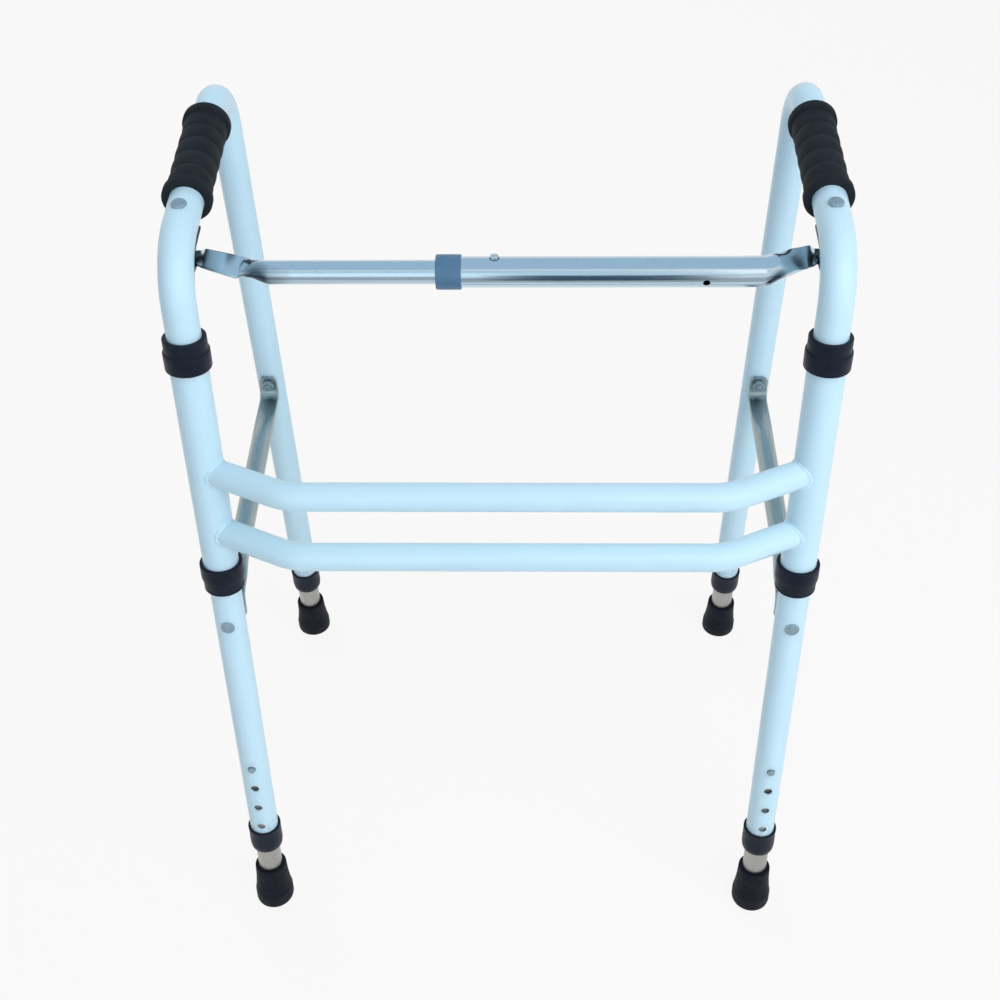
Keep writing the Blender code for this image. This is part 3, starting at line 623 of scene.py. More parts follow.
def mix_colours(tree, share, low, high):
    """The colour between two, by a share from 0 to 1."""
    node = tree.nodes.new("ShaderNodeMix")
    node.data_type = "RGBA"
    fill_inputs(tree, node, {"A": low, "B": high, "Factor": share})
    return node.outputs["Result"]


# Finishes

class Finish:
    """A Principled material with a few procedural layers read from the piece's own coordinates."""

    def __init__(self, name, colour, roughness, metallic=0.0):
        self.material = bpy.data.materials.new(name)
        self.material.use_nodes = True
        self.tree = self.material.node_tree
        self.shader = self.tree.nodes["Principled BSDF"]
        self.shader.inputs["Base Color"].default_value = (*colour, 1.0)
        self.shader.inputs["Roughness"].default_value = roughness
        self.shader.inputs["Metallic"].default_value = metallic
        self.height = None

    def attribute(self, name, output):
        node = add_node(self.tree, "Attribute", {})
        node.attribute_name = name
        return node.outputs[output]

    def grain(self, stretch=(1.0, 1.0, 1.0)):
        node = add_node(self.tree, "VectorMath", {0: self.attribute("grain", "Vector"), 1: stretch})
        node.operation = "MULTIPLY"
        return node.outputs["Vector"]

    def noise(self, scale, detail=3.0, stretch=(1.0, 1.0, 1.0)):
        values = {"Scale": scale, "Detail": detail, "Vector": self.grain(stretch)}
        return add_node(self.tree, "TexNoise", values).outputs["Fac"]

    def cells(self, scale):
        return add_node(self.tree, "TexVoronoi", {"Scale": scale, "Vector": self.grain()}).outputs["Distance"]

    def spread(self, source, low, high, out_low=0.0, out_high=1.0):
        values = {"Value": source, "From Min": low, "From Max": high, "To Min": out_low, "To Max": out_high}
        return add_node(self.tree, "MapRange", values).outputs["Result"]

    def times(self, first, second):
        return combine(self.tree, "MULTIPLY", first, second)

    def tint(self, share, colour):
        """Mix a colour over the base colour by a share from 0 to 1."""
        base = self.shader.inputs["Base Color"]
        under = base.links[0].from_socket if base.is_linked else base.default_value[:]
        self.tree.links.new(mix_colours(self.tree, share, under, (*colour, 1.0)), base)

    def gloss(self, source):
        self.tree.links.new(source, self.shader.inputs["Roughness"])

    def bump(self, source, depth):
        """Raise the surface by a height in metres where the source is 1."""
        node = add_node(self.tree, "Bump", {"Distance": depth, "Height": source})
        if self.height is not None:
            self.tree.links.new(self.height, node.inputs["Normal"])
        self.height = node.outputs["Normal"]
        self.tree.links.new(self.height, self.shader.inputs["Normal"])

    def specular(self, level):
        self.shader.inputs["Specular IOR Level"].default_value = level

    def coat(self, weight, roughness):
        self.shader.inputs["Coat Weight"].default_value = weight
        self.shader.inputs["Coat Roughness"].default_value = roughness

    def done(self, slot):
        """The finished look: its material, and the name of a slot, kept with it."""
        return {"material": self.material, "slot": slot}


def white_paint():
    """Glossy powder coat: a faint orange peel, soft clouding, and grey rubbed places."""
    look = Finish("white_powder_coat", (0.535, 0.758, 0.880), 0.34)
    look.tint(look.spread(look.noise(14.0, 1.0), 0.30, 0.70), (0.520, 0.740, 0.862))
    rubbed = look.times(look.attribute("wear_and_shade", "Fac"), look.spread(look.noise(420.0, 5.0), 0.42, 0.62))
    look.tint(rubbed, (0.34, 0.39, 0.42))
    look.gloss(look.spread(look.noise(60.0, 1.0), 0.30, 0.70, 0.31, 0.37))
    look.bump(look.noise(700.0, 1.0), 0.000012)
    look.coat(0.15, 0.12)
    return look.done("white_paint")


def chrome():
    """Bright plate over drawn tube: faint lengthwise draw lines, a slow waviness, and painted shade in the
    dents behind the squashed ends and by the bracket's lugs.
    """
    look = Finish("chrome_plate", (0.56, 0.67, 0.74), 0.15, 1.0)
    lines = look.noise(900.0, 4.0, (1.0, 1.0, 0.02))
    look.gloss(look.spread(lines, 0.30, 0.75, 0.13, 0.21))
    look.tint(look.spread(look.noise(240.0, 4.0), 0.60, 0.85, 0.0, 0.5), (0.38, 0.45, 0.50))
    # Painted shade: a near-black tint in the dents behind the squashed ends and by the bracket's lugs
    look.tint(look.spread(look.attribute("wear_and_shade", "Fac"), 0.05, 0.60), (0.055, 0.080, 0.105))
    look.bump(look.noise(45.0, 1.0, (1.0, 1.0, 0.4)), 0.00020)
    look.bump(lines, 0.000004)
    return look.done("chrome")


def shaded_satin_plate():
    """The same plate where it is duller: fine draw lines under painted shade, a darker, greenish grey copy of
    the chrome's colour.
    """
    # Painted shade: the base colour is a darker, greener copy of the chrome's
    look = Finish("shaded_satin_chrome_plate", (0.37, 0.445, 0.455), 0.30, 1.0)
    lines = look.noise(900.0, 4.0, (1.0, 1.0, 0.02))
    look.tint(look.spread(lines, 0.30, 0.75), (0.25, 0.33, 0.35))
    look.gloss(look.spread(lines, 0.30, 0.75, 0.25, 0.38))
    look.bump(look.noise(60.0, 1.0, (1.0, 1.0, 0.4)), 0.00015)
    look.bump(lines, 0.000006)
    return look.done("chrome")


def aluminium():
    """Satin drawn tube, with painted shade, nearly black, where it runs inside the leg."""
    look = Finish("satin_aluminium", (0.40, 0.395, 0.38), 0.36, 1.0)
    lines = look.noise(1100.0, 4.0, (1.0, 1.0, 0.015))
    look.tint(look.spread(lines, 0.35, 0.75), (0.33, 0.325, 0.31))
    # Painted shade: near black where the tube runs inside the outer leg and shows through its holes
    look.tint(look.attribute("wear_and_shade", "Fac"), (0.035, 0.032, 0.030))
    look.gloss(look.spread(lines, 0.30, 0.75, 0.28, 0.45))
    look.bump(lines, 0.00001)
    return look.done("anodised_aluminium")


def black_plastic():
    """Moulded plastic with a fine spark-eroded texture."""
    look = Finish("black_moulded_plastic", (0.0070, 0.0105, 0.0210), 0.42)
    look.tint(look.spread(look.noise(70.0), 0.45, 0.75), (0.0100, 0.0150, 0.0290))
    look.gloss(look.spread(look.noise(260.0), 0.35, 0.70, 0.34, 0.52))
    look.bump(look.noise(1900.0, 2.0), 0.00003)
    look.specular(0.14)
    return look.done("black_plastic")


def black_rubber():
    """Moulded rubber with a dusty bloom."""
    look = Finish("black_moulded_rubber", (0.0055, 0.0070, 0.0125), 0.62)
    look.tint(look.spread(look.noise(55.0, 5.0), 0.42, 0.80), (0.0090, 0.0110, 0.0180))
    look.tint(look.times(look.attribute("wear_and_shade", "Fac"), look.noise(300.0, 5.0)), (0.10, 0.10, 0.10))
    look.gloss(look.spread(look.noise(180.0), 0.35, 0.70, 0.52, 0.75))
    look.bump(look.noise(1400.0, 3.0), 0.00004)
    look.specular(0.12)
    return look.done("black_rubber")


def grip_foam():
    """Soft closed-cell sleeve: a dense pore texture and little shine."""
    look = Finish("soft_grip_rubber", (0.0045, 0.0072, 0.0110), 0.80)
    look.tint(look.spread(look.noise(90.0, 4.0), 0.42, 0.80), (0.0100, 0.0150, 0.0210))
    look.bump(look.cells(1500.0), 0.00010)
    look.bump(look.noise(500.0, 3.0), 0.00010)
    look.specular(0.30)
    return look.done("grip_foam")


def slate_plastic():
    """Slate blue moulding with a satin texture."""
    look = Finish("slate_blue_plastic", (0.072, 0.170, 0.285), 0.42)
    look.tint(look.spread(look.noise(120.0), 0.40, 0.75), (0.060, 0.148, 0.255))
    look.gloss(look.spread(look.noise(400.0), 0.35, 0.70, 0.36, 0.50))
    look.bump(look.noise(1700.0, 2.0), 0.00002)
    look.specular(0.35)
    return look.done("slate_plastic")


def black_steel():
    """Pressed strip, blackened, with bare metal breaking through in small patches."""
    look = Finish("blackened_steel_strip", (0.020, 0.024, 0.030), 0.42, 0.5)
    look.tint(look.spread(look.noise(300.0, 5.0), 0.58, 0.80, 0.0, 0.8), (0.10, 0.11, 0.12))
    look.gloss(look.spread(look.noise(220.0), 0.35, 0.70, 0.34, 0.55))
    look.bump(look.noise(900.0), 0.00003)
    return look.done("blackened_steel")


def zinc_steel():
    """Dull zinc plate with faint mottling."""
    look = Finish("dull_zinc_plate", (0.34, 0.44, 0.50), 0.50, 0.60)
    look.tint(look.spread(look.cells(500.0), 0.15, 0.60), (0.25, 0.34, 0.40))
    look.gloss(look.spread(look.noise(700.0), 0.30, 0.70, 0.40, 0.54))
    look.bump(look.noise(1200.0), 0.00002)
    return look.done("zinc_steel")


# Side frame pieces

def bolt_hole(place):
    """A drill for a bolt, right through a tube, with its matrix."""
    return drill_bit(BOLT_R + GAP, TUBE_DRILL, 0.0), place


def brace_bolt_hole(leg_place, leg):
    return bolt_hole(leg_place @ look_along(Z_AXIS * BRACE_HEIGHTS[leg], Y_AXIS))


def pivot_hole(place):
    return drill_bit(PIVOT_R + GAP / 2, LUG_DRILL, 0.0), place


def frame_tube(name, place, looks):
    tube = solid(name + "_frame_tube", swept_tube(side_stations(), X_AXIS, TUBE_R, TUBE_BORE_R), place)
    cutters = []
    wear_and_shade = []
    for leg, matrix, facing in legs():
        foot = place @ matrix
        for index in range(HOLE_COUNT):
            point = Vector((0, facing * TUBE_R, HOLE_TOP - index * HOLE_PITCH))
            cutters.append((drill_bit(HOLE_R, WALL_DRILL), foot @ look_along(point, Y_AXIS * facing)))
            wear_and_shade.append((foot @ point, HOLE_WEAR))
        cutters.append(brace_bolt_hole(foot, leg))
        wear_and_shade.append((foot @ (Z_AXIS * TUBE_WEAR_HEIGHT), TUBE_WEAR))
    cutters.append(bolt_hole(place @ look_along(*bracket_bolt_pose())))
    carve(tube, cutters)
    finish_piece(tube, looks["paint"], name + "_side", [name + "_side_frame"], place, wear_and_shade)


def bracket_bolt_pose():
    """Where the bracket's bolt crosses the handle, and the way down into the frame."""
    point, direction = station_at(side_stations(), handle_distance(BRACKET_BOLT_FROM))
    return point, direction.cross(X_AXIS).normalized()


def grip_outline():
    """(distance, radius) along the grip: rounded end flanges and soft finger ribs between grooves."""
    groove_r = GRIP_R - GRIP_GROOVE
    corners = [(0.0, TUBE_R + GAP, 0), (0.0, GRIP_FLANGE_R, GRIP_ROUNDING),
               (GRIP_FLANGE, GRIP_FLANGE_R, GRIP_ROUNDING), (GRIP_FLANGE, groove_r, 0)]
    flange = fillet(corners, closed=False)[1:-1]
    body = GRIP_LENGTH - 2 * GRIP_FLANGE
    steps = 14
    ribs = []
    for step in range(1, GRIP_RIBS * steps):
        swell = math.sin(math.pi * (step % steps) / steps) ** GRIP_SWELL
        along = GRIP_FLANGE + body * step / (GRIP_RIBS * steps)
        ribs.append(Vector((along, groove_r + GRIP_GROOVE * swell)))
    far = [Vector((GRIP_LENGTH - point.x, point.y)) for point in flange[:-1]]
    return flange + ribs + far[::-1]


def hand_grip(name, place, looks):
    stations = side_stations()
    start = handle_distance(GRIP_FROM)
    outer = []
    for point in grip_outline():
        centre, direction = station_at(stations, start + point.x)
        outer.append(ring(centre, X_AXIS, direction.cross(X_AXIS).normalized(), point.y, point.y, FINE))
    inner = swept_rings(stations_between(stations, start, start + GRIP_LENGTH), X_AXIS, TUBE_R + HAIR / 2)
    make_piece(name + "_soft_grip", loft(outer + inner[::-1], closed=True), place, looks["grip"],
               name + "_side", [name + "_hand_grip"])


def brace_path():
    """Stations of a brace: along the front tab, straight to the rear leg, and along the rear tab."""
    rear_up = rear_direction()
    rear_normal = Vector((0, rear_up.z, -rear_up.y))
    off = TUBE_R + GAP + BRACE_TAB_THICK / 2
    front = Vector((0, off, BRACE_HEIGHTS["front"]))
    rear = rear_foot() + rear_up * BRACE_HEIGHTS["rear"] - rear_normal * off
    corners = [front - Z_AXIS * BRACE_TAB_OUT["front"], front + Z_AXIS * BRACE_TAB_IN,
               rear - rear_up * BRACE_TAB_IN, rear + rear_up * BRACE_TAB_OUT["rear"]]
    return bent_path(corners, [BRACE_BEND_R, BRACE_BEND_R], 6)


def tab_section(point, way, half_width):
    return stadium(point, way, X_AXIS, half_width, BRACE_TAB_THICK / 2, 1.0)


def tab_end(end, inward, way, half_width):
    """Sections of a flat bar's end with rounded corners, from its tip inwards."""
    rings = []
    steps = 6
    for step in range(steps):
        angle = math.pi / 2 * (step + 0.3) / steps
        point = end + inward * (BRACE_CORNER * (1 - math.cos(angle)))
        rings.append(tab_section(point, way, half_width - BRACE_CORNER * (1 - math.sin(angle))))
    return rings


def brace_rings(stations):
    """A brace's sections: flat on the front leg, round between the legs, and flat on the rear one."""
    front = BRACE_TAB_W / 2
    rear = BRACE_REAR_TAB_W / 2
    flat = BRACE_TAB_THICK / 2
    half = len(stations) // 2
    start, direction = stations[half - 1]
    run = stations[half][0] - start
    end, way = stations[0]
    rings = tab_end(end, way, way, front)
    rings += [tab_section(point, way, front) for point, way in stations[1:half]]
    steps = 48
    for step in range(1, steps):
        share = step / steps
        swelling = smooth((share - BRACE_FLAT) / BRACE_SWELL["front"])
        roundness = min(swelling, smooth((1 - BRACE_FLAT - share) / BRACE_SWELL["rear"]))
        wide = front + (rear - front) * share
        wide += (BRACE_R - wide) * roundness
        thick = flat + (BRACE_R - flat) * roundness
        rings.append(stadium(start + run * share, direction, X_AXIS, wide, thick, 1 - roundness))
    rings += [tab_section(point, way, rear) for point, way in stations[half:-1]]
    end, way = stations[-1]
    return rings + tab_end(end, -way, way, rear)[::-1]


def brace(name, place, looks):
    """Chromed tube with both ends pressed flat and bent to lie on the legs."""
    stations = brace_path()
    obj = solid(name + "_brace_tube", loft(brace_rings(stations)), place)
    carve(obj, [brace_bolt_hole(place @ matrix, leg) for leg, matrix, _ in legs()])
    grain = place @ look_along(*stations[len(stations) // 2 - 1])
    # The brace takes the shaded copy of the chrome: painted shade in its colour
    finish_piece(obj, looks["shaded_satin"], name + "_side", [name + "_side_brace"], grain, sharp=BRACE_SHARP)


def place_at_height(points, height):
    """The place at a height on a line of points that rises all the way."""
    for low, high in zip(points, points[1:]):
        if low.z <= height <= high.z:
            return low.lerp(high, (height - low.z) / (high.z - low.z))
    return points[-1]


def bracket_outline():
    """The bracket from the side, and the index of each lug's first corner at its tip."""
    run = stations_between(side_stations(), BRACKET_FROM - TUBE_END, handle_distance(BRACKET_TO))
    outline = []
    back = []
    for point, direction in run:
        inward = direction.cross(X_AXIS).normalized()
        outline.append(point + inward * (TUBE_R + GAP))
        back.append(point + inward * (TUBE_R + GAP + BRACKET_THICK))
    tips = []
    above = math.inf
    for low in (BAR_HEIGHT + BRACKET_LUG_GAP / 2, BAR_HEIGHT - BRACKET_LUG_GAP / 2 - BRACKET_THICK):
        high = low + BRACKET_THICK
        outline += [point for point in back[::-1] if high < point.z < above]
        tips.append(len(outline) + 1)
        outline.append(place_at_height(back, high))
        outline.append(Vector((0, BRACKET_LUG_REACH, high)))
        outline.append(Vector((0, BRACKET_LUG_REACH, low)))
        outline.append(place_at_height(back, low))
        above = low
    return outline + [point for point in back[::-1] if point.z < above], tips


def bracket(name, place, looks):
    """Steel strap inside the front bend, with two rounded lugs that carry the bar's pivot pin."""
    outline, tips = bracket_outline()
    bm, ends = prism(outline, X_AXIS, BRACKET_WIDTH)
    corners = [bm.edges.get((end[tip], end[tip + 1])) for end in ends for tip in tips]
    bmesh.ops.bevel(bm, geom=corners, offset=BRACKET_LUG_ROUND, segments=12, profile=0.5, affect="EDGES")
    obj = solid(name + "_bracket_strap", bm, place)
    pivot = place @ Matrix.Translation((0, BAR_PIVOT_BACK, BAR_HEIGHT))
    carve(obj, [bolt_hole(place @ look_along(*bracket_bolt_pose())), pivot_hole(pivot)])
    edge = obj.modifiers.new("edge", "BEVEL")
    edge.width = BRACKET_EDGE
    edge.segments = 2
    edge.limit_method = "ANGLE"
    edge.angle_limit = math.radians(50)
    apply_modifiers(obj)
    finish_piece(obj, looks["black_steel"], name + "_side", [name + "_crossbar_bracket"], place)


def dome_bolt(name, place, length, looks, body, node):
    """Low dome-head bolt: its seat is at the origin, and the shank runs along -Z to a chamfered end."""
    outline = [
        (NEAR_AXIS, BOLT_HEAD, 0), (BOLT_HEAD_R * 0.40, BOLT_HEAD * 0.97, 0.003),
        (BOLT_HEAD_R * 0.80, BOLT_HEAD * 0.66, 0.002), (BOLT_HEAD_R, BOLT_HEAD * 0.22, 0.0005),
        (BOLT_HEAD_R, 0.0, 0), (BOLT_R, 0.0, 0),
        (BOLT_R, -length + BOLT_CHAMFER, 0), (BOLT_R - BOLT_CHAMFER, -length, 0),
    ]
    make_piece(name, turned_solid(outline), place, looks["zinc"], body, [node])


def hex_nut(name, place, looks, body, node):
    """Hexagon nut with turned chamfers; its seat is at the origin and it grows along Z."""
    count = 48
    flat = NUT_R * math.cos(math.pi / 6)
    low = []
    high = []
    for step in range(count):
        angle = 2.0 * math.pi * step / count
        within = (angle + math.pi / 6) % (math.pi / 3) - math.pi / 6
        reach = flat / math.cos(math.pi / 6 - abs(within))
        drop = max(0.0, reach - flat * 1.01) * math.tan(NUT_CHAMFER)
        way = Vector((math.cos(angle), math.sin(angle), 0))
        low.append(way * reach + Z_AXIS * drop)
        high.append(way * reach + Z_AXIS * (NUT_THICK - drop))
    face = [(BOLT_R + HAIR, 0.0004), (BOLT_R + 0.0005, 0.0), (flat * 0.99, 0.0)]
    rings = [level_ring(radius, height, count, 0.0) for radius, height in face] + [low, high]
    rings += [level_ring(radius, NUT_THICK - height, count, 0.0) for radius, height in face[::-1]]
    make_piece(name, loft(rings, closed=True), place, looks["zinc"], body, [node], sharp=NUT_SHARP)


def bolt_and_nut(name, place, seat, out, held, looks, body):
    """A bolt whose head sits at a point and faces out, and the nut beyond the thickness that it holds."""
    length = held + NUT_THICK + GAP + BOLT_END
    dome_bolt(name + "_dome_bolt", place @ look_along(seat, out), length, looks, body, name + "_bolt")
    behind = seat - out * (held + HAIR)
    hex_nut(name + "_hex_nut", place @ look_along(behind, -out), looks, body, name + "_nut")


def pivot_rivet(name, place, looks):
    """Rivet through the bracket's lugs, with a low head below and a peened end above."""
    half = BRACKET_LUG_GAP / 2 + BRACKET_THICK
    outline = [
        (NEAR_AXIS, -half - 0.0022, 0), (PIVOT_R * 1.2, -half - 0.0019, 0.002),
        (PIVOT_R * 1.8, -half - 0.0009, 0.0006), (PIVOT_R * 1.8, -half - HAIR, 0),
        (PIVOT_R, -half - HAIR, 0), (PIVOT_R, half + HAIR, 0), (PIVOT_R * 1.12, half + 0.0005, 0.0003),
        (PIVOT_R * 0.5, half + 0.0010, 0.0005), (NEAR_AXIS, half + 0.0010, 0),
    ]
    at = place @ Matrix.Translation((0, BAR_PIVOT_BACK, BAR_HEIGHT))
    make_piece(name + "_pivot_rivet", turned_solid(outline), at, looks["zinc"], name + "_side",
               [name + "_crossbar_pivot_pin"])


def side_fasteners(name, place, looks):
    body = name + "_side"
    through = 2 * TUBE_R + 2 * GAP
    for leg, matrix, facing in legs():
        seat = Vector((0, facing * (TUBE_R + HAIR), BRACE_HEIGHTS[leg]))
        bolt_and_nut(f"{name}_{leg}_brace", place @ matrix, seat, Y_AXIS * facing,
                     through + BRACE_TAB_THICK, looks, body)
    point, inward = bracket_bolt_pose()
    bolt_and_nut(name + "_bracket", place, point - inward * (TUBE_R + HAIR), -inward,
                 through + BRACKET_THICK, looks, body)
    pivot_rivet(name, place, looks)


def ferrule(name, leg, place, looks):
    """Plastic end bush: a cup over the cut end of the leg, with a bead at its mouth."""
    over = TUBE_R + HAIR
    bore = LEG_R + 0.0002
    seat = TUBE_END - HAIR
    outline = [
        (bore, FERRULE_BOTTOM, 0.0004), (FERRULE_R - 0.0008, FERRULE_BOTTOM, 0.0016),
        (FERRULE_R, FERRULE_BOTTOM + 0.0060, 0.002), (FERRULE_R - 0.0002, FERRULE_TOP - 0.0032, 0.0006),
        (FERRULE_R, FERRULE_TOP - 0.0026, 0.0005), (FERRULE_R, FERRULE_TOP, 0.0010),
        (over, FERRULE_TOP, 0.0003), (over, seat, 0), (bore, seat, 0),
    ]
    make_piece(f"{name}_{leg}_end_bush", turned(outline), place, looks["plastic"], name + "_side",
               [f"{name}_{leg}_ferrule"])


def leg_extension(name, leg, facing, place, looks):
    heights = (LEG_BOTTOM, TIP_TOP, TUBE_END, 0.100, 0.160, LEG_TOP)
    tube = swept_tube([(Z_AXIS * height, Z_AXIS) for height in heights], X_AXIS, LEG_R, LEG_BORE_R)
    obj = solid(f"{name}_{leg}_inner_tube", tube, place)
    hole = look_along(Vector((0, facing * LEG_R, HOLE_TOP)), Y_AXIS * facing)
    carve(obj, [(drill_bit(HOLE_R, WALL_DRILL, 0.0), place @ hole)])
    # Places of painted shade, on the length that runs inside the outer leg
    wear_and_shade = [(place @ (Z_AXIS * height), LEG_PAINTED_SHADE) for height in LEG_PAINTED_SHADE_HEIGHTS]
    finish_piece(obj, looks["aluminium"], f"{name}_{leg}_leg", [f"{name}_{leg}_leg_extension"], place, wear_and_shade)


def tip_outline():
    """(radius, height) of a foot's skin above its sole: a rolled top lip and a swelling skirt."""
    over = LEG_R + HAIR
    return fillet([
        (over, 0.0098, 0), (over, TIP_TOP, 0.0006), (over + 0.0034, TIP_TOP, 0.0015), (0.0153, 0.0300, 0.02),
        (0.0168, 0.0165, 0.01), (TIP_R + 0.0002, 0.0125, 0.003), (TIP_R + 0.0003, 0.0045, 0.0),
    ], closed=False)


def sole_outline():
    """(radius, lift off the floor) of a foot's sole, from its edge over the tread rings to the middle."""
    sole = [(TIP_R + 0.0003, 0.0026), (TIP_R, 0.0012), (TIP_R - 0.0008, 0.0003), (TIP_R - 0.0018, 0.0)]
    tread = TREAD_FROM
    while tread > TREAD_TO:
        sole += [(tread, 0.0), (tread - 0.0003, 0.0010), (tread - 0.0010, 0.0010), (tread - 0.0013, 0.0)]
        tread -= TREAD_PITCH
    return sole + [(0.0072, 0.0), (0.0069, 0.0025), (0.0010, 0.0025)]


def rubber_tip(name, leg, place, looks):
    """Flared rubber foot whose ringed sole is parallel to the floor."""
    floor_up = place.to_3x3().transposed() @ Z_AXIS
    rings = [level_ring(radius, height, FINE) for radius, height in tip_outline()]
    for radius, lift in sole_outline():
        flat = level_ring(radius, 0.0, FINE)
        rings.append([point + Z_AXIS * (lift - point.dot(floor_up) / floor_up.z) for point in flat])
    make_piece(f"{name}_{leg}_foot", loft(rings), place, looks["rubber"], f"{name}_{leg}_leg",
               [f"{name}_{leg}_rubber_tip"], [(place.translation, TIP_WEAR)])


def spring_button(name, place, tube_r, bore_r, look, body, node, room=0.0):
    """Domed button on a folded leaf spring, and the height of its lower leaf.

    Z points out through the tubes and X along them.
    """
    back = bore_r - GAP
    top = math.sqrt(back ** 2 - (CLIP_WIDTH / 2) ** 2) - GAP
    low = room - top
    start = -CLIP_START
    outline = [(start, top), (CLIP_BEND, -0.0004), (start, low), (start, low + CLIP_THICK),
               (CLIP_BEND - 0.0042, -0.0002), (start, top - CLIP_THICK)]
    bm, _ = prism([Vector((x, 0, z)) for x, z in outline], Y_AXIS, CLIP_WIDTH)
    proud = tube_r + BUTTON_PROUD
    foot = top - 0.0005
    head = turned_solid([(NEAR_AXIS, foot, 0), (BUTTON_R, foot, 0), (BUTTON_R, proud - 0.0008, 0.0016),
                         (BUTTON_R * 0.55, proud, 0.003), (NEAR_AXIS, proud, 0)])
    join_into(bm, head, Matrix.Identity(4))
    return make_piece(name, bm, place, look, body, [node]), low


def flatten_with(obj):
    """Give a spring's piece its own copy of its mesh, once the scene is updated."""
    bpy.context.view_layer.update()
    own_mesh(obj)


def leg_button(name, leg, facing, place, looks):
    at = place @ look_along(Z_AXIS * HOLE_TOP, Y_AXIS * facing, Z_AXIS)
    obj, low = spring_button(f"{name}_{leg}_spring_button", at, TUBE_R, LEG_BORE_R, looks["zinc"],
                             f"{name}_{leg}_button", f"{name}_{leg}_snap_button")
    flatten_with(obj)


def build_side(name, side, looks):
    place = side_matrix(side)
    frame_tube(name, place, looks)
    hand_grip(name, place, looks)
    brace(name, place, looks)
    bracket(name, place, looks)
    side_fasteners(name, place, looks)
    for leg, matrix, facing in legs():
        foot = place @ matrix
        ferrule(name, leg, foot, looks)
        leg_extension(name, leg, facing, foot, looks)
        rubber_tip(name, leg, foot, looks)
        leg_button(name, leg, facing, foot, looks)


# Front panel pieces

def sleeve(name, side, place, looks):
    foot = Vector((side * LEG_SPACING / 2, 0, 0))
    ends = [foot + Z_AXIS * height for height in (SLEEVE_FROM, SLEEVE_TO)]
    tube = swept_tube([(end, Z_AXIS) for end in ends], X_AXIS, SLEEVE_R, SLEEVE_BORE_R)
    make_piece(name + "_sleeve_tube", tube, place, looks["paint"], "front_panel", [name + "_sleeve"],
               [(place @ end, SLEEVE_WEAR) for end in ends])


def collar(name, side, end, place, looks):
    """Stepped bush: a skirt over the sleeve's end and a neck that bears on the tube; Z points out."""
    up = 1 if end == "upper" else -1
    height = SLEEVE_TO if end == "upper" else SLEEVE_FROM
    over = SLEEVE_R + HAIR
    bore = TUBE_R + 0.0002
    waist = COLLAR_NECK_R - 0.0003
    outline = [
        (over, -COLLAR_SKIRT, 0.0002), (COLLAR_SKIRT_R, -COLLAR_SKIRT, 0.0009),
        (COLLAR_SKIRT_R + 0.0001, -0.0040, 0.001), (COLLAR_SKIRT_R, 0.0002, 0.0008),
        (COLLAR_NECK_R, 0.0008, 0.0004), (COLLAR_NECK_R, COLLAR_NECK - 0.0034, 0.0002),
        (waist, COLLAR_NECK - 0.0031, 0.0002), (waist, COLLAR_NECK - 0.0024, 0.0002),
        (COLLAR_NECK_R, COLLAR_NECK - 0.0021, 0.0002), (COLLAR_NECK_R, COLLAR_NECK, 0.0010),
        (bore, COLLAR_NECK, 0.0005), (bore, 0.0002, 0), (over, 0.0002, 0),
    ]
    at = place @ look_along(Vector((side * LEG_SPACING / 2, 0, height)), Z_AXIS * up)
    make_piece(f"{name}_{end}_bush", turned(outline), at, looks["plastic"], "front_panel",
               [f"{name}_{end}_collar"])


def crossbar_stations(end):
    height = CROSSBAR_HEIGHTS[end]
    reach = LEG_SPACING / 2
    corners = [Vector((-reach, 0, height)), Vector((-CROSSBAR_STRAIGHT / 2, -CROSSBAR_BULGE, height)),
               Vector((CROSSBAR_STRAIGHT / 2, -CROSSBAR_BULGE, height)), Vector((reach, 0, height))]
    return bent_path(corners, [CROSSBAR_BEND_R, CROSSBAR_BEND_R], 12)


def crossbar(end, place, looks):
    """Bent tube whose ends are coped to the sleeves."""
    tube = swept_tube(crossbar_stations(end), Z_AXIS, CROSSBAR_R, CROSSBAR_R - CROSSBAR_WALL)
    bar = solid(end + "_crossbar_tube", tube, place)
    cutters = []
    for side in SIDES.values():
        at = place @ Matrix.Translation((side * LEG_SPACING / 2, 0, CROSSBAR_HEIGHTS[end]))
        cutters.append((turned_solid([(SLEEVE_R, -0.03, 0), (SLEEVE_R, 0.03, 0)], FINE), at))
    carve(bar, cutters)
    grain = place @ look_along(Vector(), X_AXIS)
    finish_piece(bar, looks["paint"], "front_panel", [end + "_crossbar"], grain)


def slide_to_sleeve(point, direction, side):
    """Move a point back along a direction to the sleeve's outer surface, from outside it."""
    offset = Vector((point.x - side * LEG_SPACING / 2, point.y))
    way = Vector((-direction.x, -direction.y)).normalized()
    b = offset.dot(way)
    c = offset.length_squared - SLEEVE_R ** 2
    distance = -b + math.sqrt(max(0.0, b * b - c))
    scale = Vector((direction.x, direction.y)).length
    return point - direction * (distance / scale)


